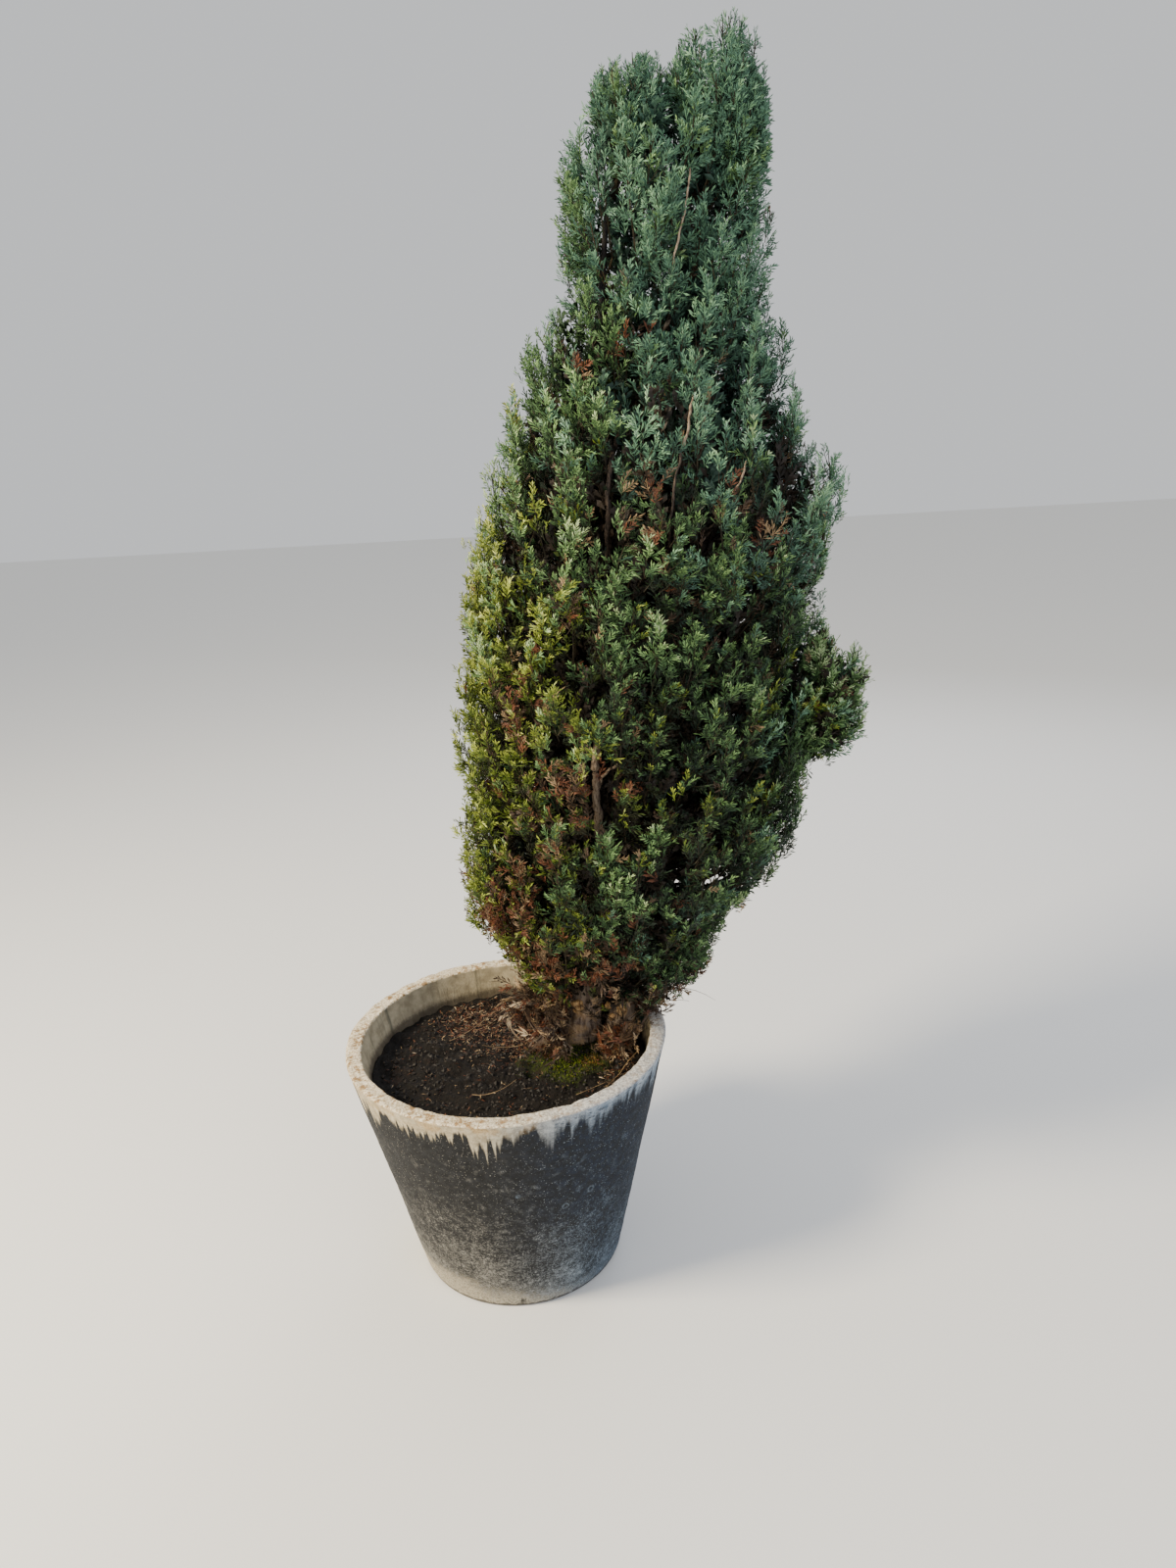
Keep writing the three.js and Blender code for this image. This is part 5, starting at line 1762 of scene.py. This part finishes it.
def branch_routes(roots):
    """Quadratic curves from the stems that sag a little and turn up to each plume."""
    start = nearer_stem(roots)
    span = np.linalg.norm(roots - start, axis=1, keepdims=True)
    bend = (start + roots) / 2 - UP * BRANCH_SAG * span + (roots - start) * [0.2, 0.2, 0.0]
    t = np.linspace(0, 1, BRANCH_RINGS)[:, None]
    return (1 - t) ** 2 * start[:, None] + 2 * t * (1 - t) * bend[:, None] + t * t * roots[:, None]


def in_the_open(routes):
    """The largest share by which a route's later half lies in an open place."""
    later = routes[:, routes.shape[1] // 2:]
    shares = largest_share(later.reshape(-1, 3), HOLLOW_CONES + CLEAR_LINES)
    return shares.reshape(later.shape[:2]).max(1)


def hidden(routes, depth):
    """Whether routes keep out of open places and a depth inside the crown."""
    return (in_the_open(routes) < OPEN_SHARE) & (depth_inside(routes).min(1) > depth)


TWIG = mottled("twig", (60, 3), "#231d12", "#3c3320", 0.75, 0.3)
branch_tubes, twig_tubes = [], []
for plumes, twigs in ((outer, outer_twigs), (between, between_twigs), (second, second_twigs)):
    root, _ = plume_axes(plumes, np.zeros((len(plumes.tip), 1)))
    routes = branch_routes(root[:, 0])
    routes = routes[hidden(routes, BRANCH_DEPTH)]
    span = np.linalg.norm(routes[:, 0] - routes[:, -1], axis=1)[:, None]
    radii = 0.0018 + (0.0008 + 0.008 * np.minimum(span, 0.3)) * np.linspace(1, 0, BRANCH_RINGS)
    branch_tubes.append(many_tubes(routes, radii, 4))
    for twig_routes, twig_radii in twigs:
        stays = hidden(twig_routes, TWIG_DEPTH)
        twig_tubes.append(many_tubes(twig_routes[stays], twig_radii[stays], 3))

branch_piece = add_piece("branches", *join(branch_tubes), TWIG, "bark")
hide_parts(*[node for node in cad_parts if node.startswith("bough_")])
add_piece("twigs", *join(twig_tubes), TWIG, "bark")

# %% [markdown]
# ## Limbs in front of the greenery
# A few limbs lie bare in front of the leaves. The rule for branches would never put one exactly
# there, so these follow listed points, with ten sides, knots from noise and flaky bark.

# %% Front limbs
LIMB_RINGS = 36
LIMB_SIDES = 10


def limb_finish(name, dark, light):
    """Flaky bark, with strips that run up the limb."""
    made = Finish(name, 0.3)
    strips = made.noise(260, 4, 0.65, made.scaled(made.place, (1.0, 1.0, 0.2)))
    return made.done(made.mix(strips.step(0.35, 0.65), dark, light), 0.75, strips, 0.002)


def front_limbs(limbs, seed):
    """Knotty closed tubes, each a little thicker at its lower end."""
    tubes = []
    for points, radius, _ in limbs:
        route = smooth_route(points, LIMB_RINGS)
        route = route + 0.0015 * np.stack([waves(route, 0.03, seed + k) for k in range(3)], -1)
        rising = int(np.sign(route[-1, 2] - route[0, 2]))
        girth = radius * (np.linspace(1.1, 0.8, LIMB_RINGS)[::rising] + 0.12 * waves(route, 0.02, seed + 3))
        tubes.append(many_tubes(route[None], girth[None], LIMB_SIDES))
    return join(tubes)


PALE_LIMB = limb_finish("limb_pale", "#5c4a3b", "#a8957f")
# Painted shade: the dark limbs' bark is the pale limbs' bark painted darker, as inside the crown
DARK_LIMB = limb_finish("limb_dark", "#1f1b19", "#57493e")
add_piece("pale_limbs", *front_limbs(PALE_LIMBS, 141), PALE_LIMB, "bark", smooth=True)
add_piece("dark_limbs", *front_limbs(DARK_LIMBS, 145), DARK_LIMB, "bark", smooth=True)

# %% [markdown]
# ## Dead fronds round the foot
# Low down the foliage has died, and its curled brown fronds and bare twigs stay tangled round
# the feet of the stems. A tangle has no plan, so a clump is a cloud of points that fall off from
# its middle. Each point holds a strongly curled spray, and every third one a bare twig as well.
# What would run into the pot or the soil, or hide the knots, is left out.

# %% Dead fronds
# Clumps as the middle, the reach sideways and upwards, and how many fronds
FOOT_CLUMPS = [
    (0.05, 0.035, 0.52, 0.034, 0.03, 90), (0.078, 0.015, 0.492, 0.032, 0.034, 150),
    (0.098, 0.0, 0.452, 0.03, 0.02, 110), (0.19, 0.04, 0.56, 0.055, 0.022, 80),
    (0.27, 0.015, 0.49, 0.024, 0.028, 80), (0.215, -0.002, 0.44, 0.024, 0.012, 50),
    (0.15, 0.12, 0.49, 0.07, 0.036, 150), (0.26, 0.11, 0.52, 0.05, 0.036, 100),
    (0.31, 0.05, 0.57, 0.036, 0.03, 70), (0.218, 0.006, 0.452, 0.026, 0.014, 110),
]
FROND_LENGTH = 0.032
FROND_CURL = (-0.75, 0.55)
FROND_SHARES = {"rust": 0.25, "straw": 0.18, "brown": 0.48, "bleached": 0.09}
FROND_KINDS = [spray_kind(97 + n, pairs=4, width=0.048) for n in range(4)]
FINISHES["bleached"] = foliage_finish("bleached", *DEAD_LOOKS["bleached"])


def foot_fronds(seed):
    """Dead sprays, clump by clump, that point outwards and a little down."""
    chance = np.random.default_rng(seed)
    clumps = np.repeat(np.array(FOOT_CLUMPS)[:, :5], [clump[5] for clump in FOOT_CLUMPS], axis=0)
    offset = chance.normal(0, 0.55, (len(clumps), 3))
    base = clumps[:, :3] + offset * clumps[:, [3, 3, 4]]
    base[:, 2] = np.maximum(base[:, 2], SOIL_LEVEL + 0.012)
    aim = unit(offset + chance.normal(0, 0.8, offset.shape) + [0, -0.3, -0.25])
    steep = aim[:, 2] < -0.4
    aim[steep, 2] *= -0.5
    facing = unit(chance.normal(size=aim.shape))
    size = FROND_LENGTH * chance.uniform(0.6, 1.35, len(base))
    return Sprays(base, unit(aim), facing, size, np.zeros(len(base), int), np.zeros(len(base)))


def bent_twigs(base, aim, length, radius, seed, rings=5):
    """Routes and radii of thin twigs that bend a little at random."""
    chance = np.random.default_rng(seed)
    bend = square_to(chance.normal(size=aim.shape), aim) * chance.uniform(0.1, 0.6, (len(aim), 1))
    t = np.linspace(0, 1, rings)[:, None]
    routes = base[:, None] + length[:, None, None] * (t * aim[:, None] + t * t * bend[:, None])
    return routes, radius * np.broadcast_to(np.linspace(1, 0.45, rings), routes.shape[:2])


def within_pot(points, margin=0.006):
    """Whether points lie clear of the pot's wall, or above its rim."""
    inner = POT_RIM_RADIUS - POT_WALL - POT_SLOPE * (POT_HEIGHT - points[..., 2]) - margin
    return (np.hypot(points[..., 0], points[..., 1]) < inner) | (points[..., 2] > POT_HEIGHT + 0.008)


fronds = foot_fronds(151)
frond_points, _ = spray_points(fronds, FROND_KINDS, 152, *FROND_CURL)
clear = within_pot(frond_points).all((1, 2)) & (frond_points[..., 2].min((1, 2)) > SOIL_LEVEL + 0.001)
clear &= largest_share(frond_points.reshape(-1, 3), FOOT_LINES).reshape(len(frond_points), -1).max(1) < 0.5
frond_points = frond_points[clear]
frond_looks = np.random.default_rng(153).choice(4, size=len(frond_points), p=list(FROND_SHARES.values()))
for number, name in enumerate(FROND_SHARES):
    chosen = frond_points[frond_looks == number].reshape(-1, 4, 3)
    add_blades(f"fronds_{name}", chosen, FINISHES[name], "bark")

# %% Bare twigs among the fronds
twig_base, twig_aim = (part[clear][::3] for part in (fronds.base, fronds.aim))
twig_length = np.random.default_rng(154).uniform(0.03, 0.075, len(twig_base))
twig_routes, twig_radii = bent_twigs(twig_base, twig_aim, twig_length, 0.0008, 155)
clear = within_pot(twig_routes).all(1) & (twig_routes[..., 2].min(1) > SOIL_LEVEL + 0.002)
add_piece("fronds_twigs", *many_tubes(twig_routes[clear], twig_radii[clear], 4), FINISHES["brown"], "bark")

# %% [markdown]
# ## Litter
# Fallen sprays lie on the soil: rust-red and thick under the right rim and at the back, sparse in
# front. A simulation of their fall would take long and end much the same. So points are spread
# evenly over the bed and kept by how thick the litter lies there, and each gets a small blade.

# %% Litter
LITTER_COUNT = 21000
LITTER_THIN = 0.025
LITTER_THICK = [(0.262, -0.03, 0.06), (0.235, -0.085, 0.04), (-0.06, 0.15, 0.07),
                (0.12, 0.19, 0.08), (0.225, 0.13, 0.06), (0.215, -0.01, 0.045),
                (0.03, 0.06, 0.055)]
LITTER_SHARES = {"rust": 0.44, "straw": 0.22, "brown": 0.24, "bleached": 0.1}


def on_soil(count, seed, reach=0.244):
    """Points spread evenly over the soil, at its own height."""
    chance = np.random.default_rng(seed)
    radius = reach * np.sqrt(chance.random(count))
    points = round_axis(radius, chance.uniform(0, 2 * math.pi, count), SOIL_LEVEL)
    points[:, 2] += soil_height(points) - SOIL_SETTLED
    return points, chance


def litter_share(points):
    """How thick litter lies, up to 1 in the thick places."""
    share = np.full(len(points), LITTER_THIN)
    for x, y, reach in LITTER_THICK:
        away = np.hypot(points[:, 0] - x, points[:, 1] - y)
        share = np.maximum(share, np.exp(-(away / reach) ** 2))
    return share


def lying_blades(points, chance, lengths, width):
    """Folded blades that lie in random directions, some tipped up a little."""
    count = len(points)
    bearing = chance.uniform(0, 2 * math.pi, count)
    aim = round_axis(1, bearing, np.abs(chance.normal(0, 0.22, count)))
    reach = chance.uniform(*lengths, count)[:, None]
    roots = points + [0, 0, 0.0015]
    return blades(roots, roots + unit(aim) * reach, width * chance.uniform(0.6, 1.3, count), 0.0006, chance)


litter_points, chance = on_soil(LITTER_COUNT, 161)
litter_points = litter_points[chance.random(LITTER_COUNT) < litter_share(litter_points)]
litter = lying_blades(litter_points, chance, (0.004, 0.014), 0.0008)
litter = litter[within_pot(litter, 0.002).all(1)]
litter_looks = chance.choice(4, size=len(litter), p=list(LITTER_SHARES.values()))
for number, name in enumerate(LITTER_SHARES):
    add_blades(f"litter_{name}", litter[litter_looks == number], FINISHES[name], "soil")

# %% [markdown]
# ## Crumbs of soil
# Noise alone rounds the crumbs of compost off, so the biggest are small lumps of their own: the
# six corners of an octahedron, pushed in and out at random.

# %% Crumbs of soil
CRUMB_COUNT = 2600
CRUMB_CORNERS = np.array([[1, 0, 0], [-1, 0, 0], [0, 1, 0], [0, -1, 0], [0, 0, 1], [0, 0, -1]], float)
CRUMB_FACES = np.array([[0, 2, 4], [2, 1, 4], [1, 3, 4], [3, 0, 4],
                        [2, 0, 5], [1, 2, 5], [3, 1, 5], [0, 3, 5]])


def crumbs(points, chance):
    """Small rough lumps, most of them tiny: size = least + more share^2.5."""
    size = 0.0012 + 0.0042 * chance.random(len(points)) ** 2.5
    shape = (len(points), len(CRUMB_CORNERS))
    corners = CRUMB_CORNERS * chance.uniform(0.7, 1.3, (*shape, 1)) + chance.normal(0, 0.15, (*shape, 3))
    corners = corners * size[:, None, None] * [1, 1, 0.8]
    faces = CRUMB_FACES[None] + shape[1] * np.arange(shape[0])[:, None, None]
    return (points[:, None] + corners + [0, 0, 0.0006]).reshape(-1, 3), faces.reshape(-1, 3)


crumb_places = on_soil(CRUMB_COUNT, 163)
# Crumbs painted nearly black as shade, like the compost
CRUMB = foliage_finish("crumb", "#0f0b09", "#221a13")
add_piece("soil_crumbs", *crumbs(*crumb_places), CRUMB, "soil")

# %% [markdown]
# ## Moss
# Moss covers the ground in front of the left stem, bright in its middle and brown where it dries
# out. A green stain alone would look painted on, so small upright blades stand on it.

# %% Moss
MOSS_LOOKS = {"dark": ("#1d2606", "#303c09"), "olive": ("#62700b", "#7f8d14"),
              "brown": ("#634916", "#7d5d20")}
MOSS_COUNT = 30000
MOSS_BRIGHT = [(0.116, -0.041, 0.424, 0.026), (0.1, 0.01, 0.426, 0.02)]
MOSS_BROWN = [(0.16, -0.04, 0.424, 0.016), (0.072, -0.015, 0.424, 0.01)]


def moss_leaves(seed):
    """Short upright blades where the moss is, and their tones."""
    points, chance = on_soil(MOSS_COUNT, seed)
    points = points[chance.random(len(points)) < moss_share(points)]
    lean = chance.normal(0, 0.35, points.shape) + [0, 0, 1]
    tips = points + unit(lean) * chance.uniform(0.003, 0.0065, (len(points), 1))
    leaves = blades(points, tips, np.full(len(points), 0.0006), 0.0004, chance)
    bright = 0.08 + 0.85 * patch_share(points, MOSS_BRIGHT) + 0.15 * waves(points, 0.02, 171)
    tone = (chance.random(len(points)) < bright).astype(int)
    tone[chance.random(len(points)) < 0.06 + 0.8 * patch_share(points, MOSS_BROWN)] = 2
    return leaves, tone


moss, moss_tone = moss_leaves(173)
for number, (name, shades) in enumerate(MOSS_LOOKS.items()):
    add_blades(f"moss_{name}", moss[moss_tone == number], foliage_finish(f"moss_{name}", *shades), "soil")

# %% [markdown]
# ## Loose twigs
# A few bare twigs lie across the soil or lean on the stems, each from one named point to another.

# %% Loose twigs
# Both ends and the radius of each
LOOSE_TWIGS = [
    ((0.252, -0.03, 0.436), (0.176, -0.118, 0.427), 0.0009),
    ((0.062, 0.01, 0.452), (-0.02, -0.045, 0.424), 0.0008),
    ((0.275, 0.02, 0.505), (0.205, 0.0, 0.462), 0.001),
    ((0.2, 0.012, 0.508), (0.168, 0.018, 0.5), 0.0012),
    ((-0.12, 0.06, 0.424), (-0.04, 0.11, 0.428), 0.0007),
    ((-0.06, -0.13, 0.423), (0.02, -0.16, 0.424), 0.0007),
    ((0.0, 0.18, 0.425), (0.09, 0.165, 0.434), 0.0008),
    ((0.13, -0.15, 0.424), (0.182, -0.128, 0.43), 0.0007),
]
starts, ends = (np.array([twig[k] for twig in LOOSE_TWIGS]) for k in (0, 1))
lengths = np.linalg.norm(ends - starts, axis=1)
loose_routes, loose_radii = bent_twigs(starts, unit(ends - starts), lengths, 1.0, 181, rings=8)
loose_radii = loose_radii * np.array([twig[2] for twig in LOOSE_TWIGS])[:, None]
loose_routes[..., 2] = np.maximum(loose_routes[..., 2], SOIL_LEVEL + 0.004)
add_piece("loose_twigs", *many_tubes(loose_routes, loose_radii, 6), FINISHES["straw"], "soil")

# %% [markdown]
# ## Stage
# The floor is plain and pale. The key light is warm and stands to the left, as the sun does in the
# photograph, a wide cool one fills in from the right, and a weaker one lights the far side. They
# are area lights, because size makes a shadow soft.

# %% Floor and lights
FLOOR_REACH = 14.0
FLOOR_DROP = 0.0006
TARGET = (0.25, 0.0, 1.1)


def add_floor():
    """A matt square just below the pot, so that the two never share a plane."""
    corners = np.array([[-1, -1, 0], [1, -1, 0], [1, 1, 0], [-1, 1, 0]]) * FLOOR_REACH
    mesh = bpy.data.meshes.new("floor")
    mesh.from_pydata((corners - UP * FLOOR_DROP).tolist(), [], [(0, 1, 2, 3)])
    mesh.materials.append(Finish("floor").done("#eae9e6", 0.9))
    floor = bpy.data.objects.new("floor", mesh)
    bpy.context.scene.collection.objects.link(floor)
    return floor


def add_light(name, place, size, watts, code):
    """A square area light at a place, turned towards the target."""
    light = bpy.data.lights.new(name, "AREA")
    light.size = size
    light.energy = watts
    light.color = paint(code)
    lamp = bpy.data.objects.new(name, light)
    lamp.location = place
    lamp.rotation_euler = (Vector(place) - Vector(TARGET)).to_track_quat("Z", "Y").to_euler()
    bpy.context.scene.collection.objects.link(lamp)


floor = add_floor()
add_light("key", (-3.2, -1.4, 3.4), 1.2, 420, "#fff0d2")
add_light("fill", (2.6, -3.4, 2.6), 3.0, 70, "#dfe9ff")
add_light("back", (1.6, 3.4, 3.0), 2.5, 60, "#eef3ff")

world = bpy.data.worlds.new("studio")
bpy.context.scene.world = world
world.use_nodes = True
sky = world.node_tree.nodes["Background"].inputs
sky["Color"].default_value = (*paint("#eceef0"), 1.0)
sky["Strength"].default_value = 0.85
print("lights:", [lamp.name for lamp in bpy.data.objects if lamp.type == "LIGHT"])
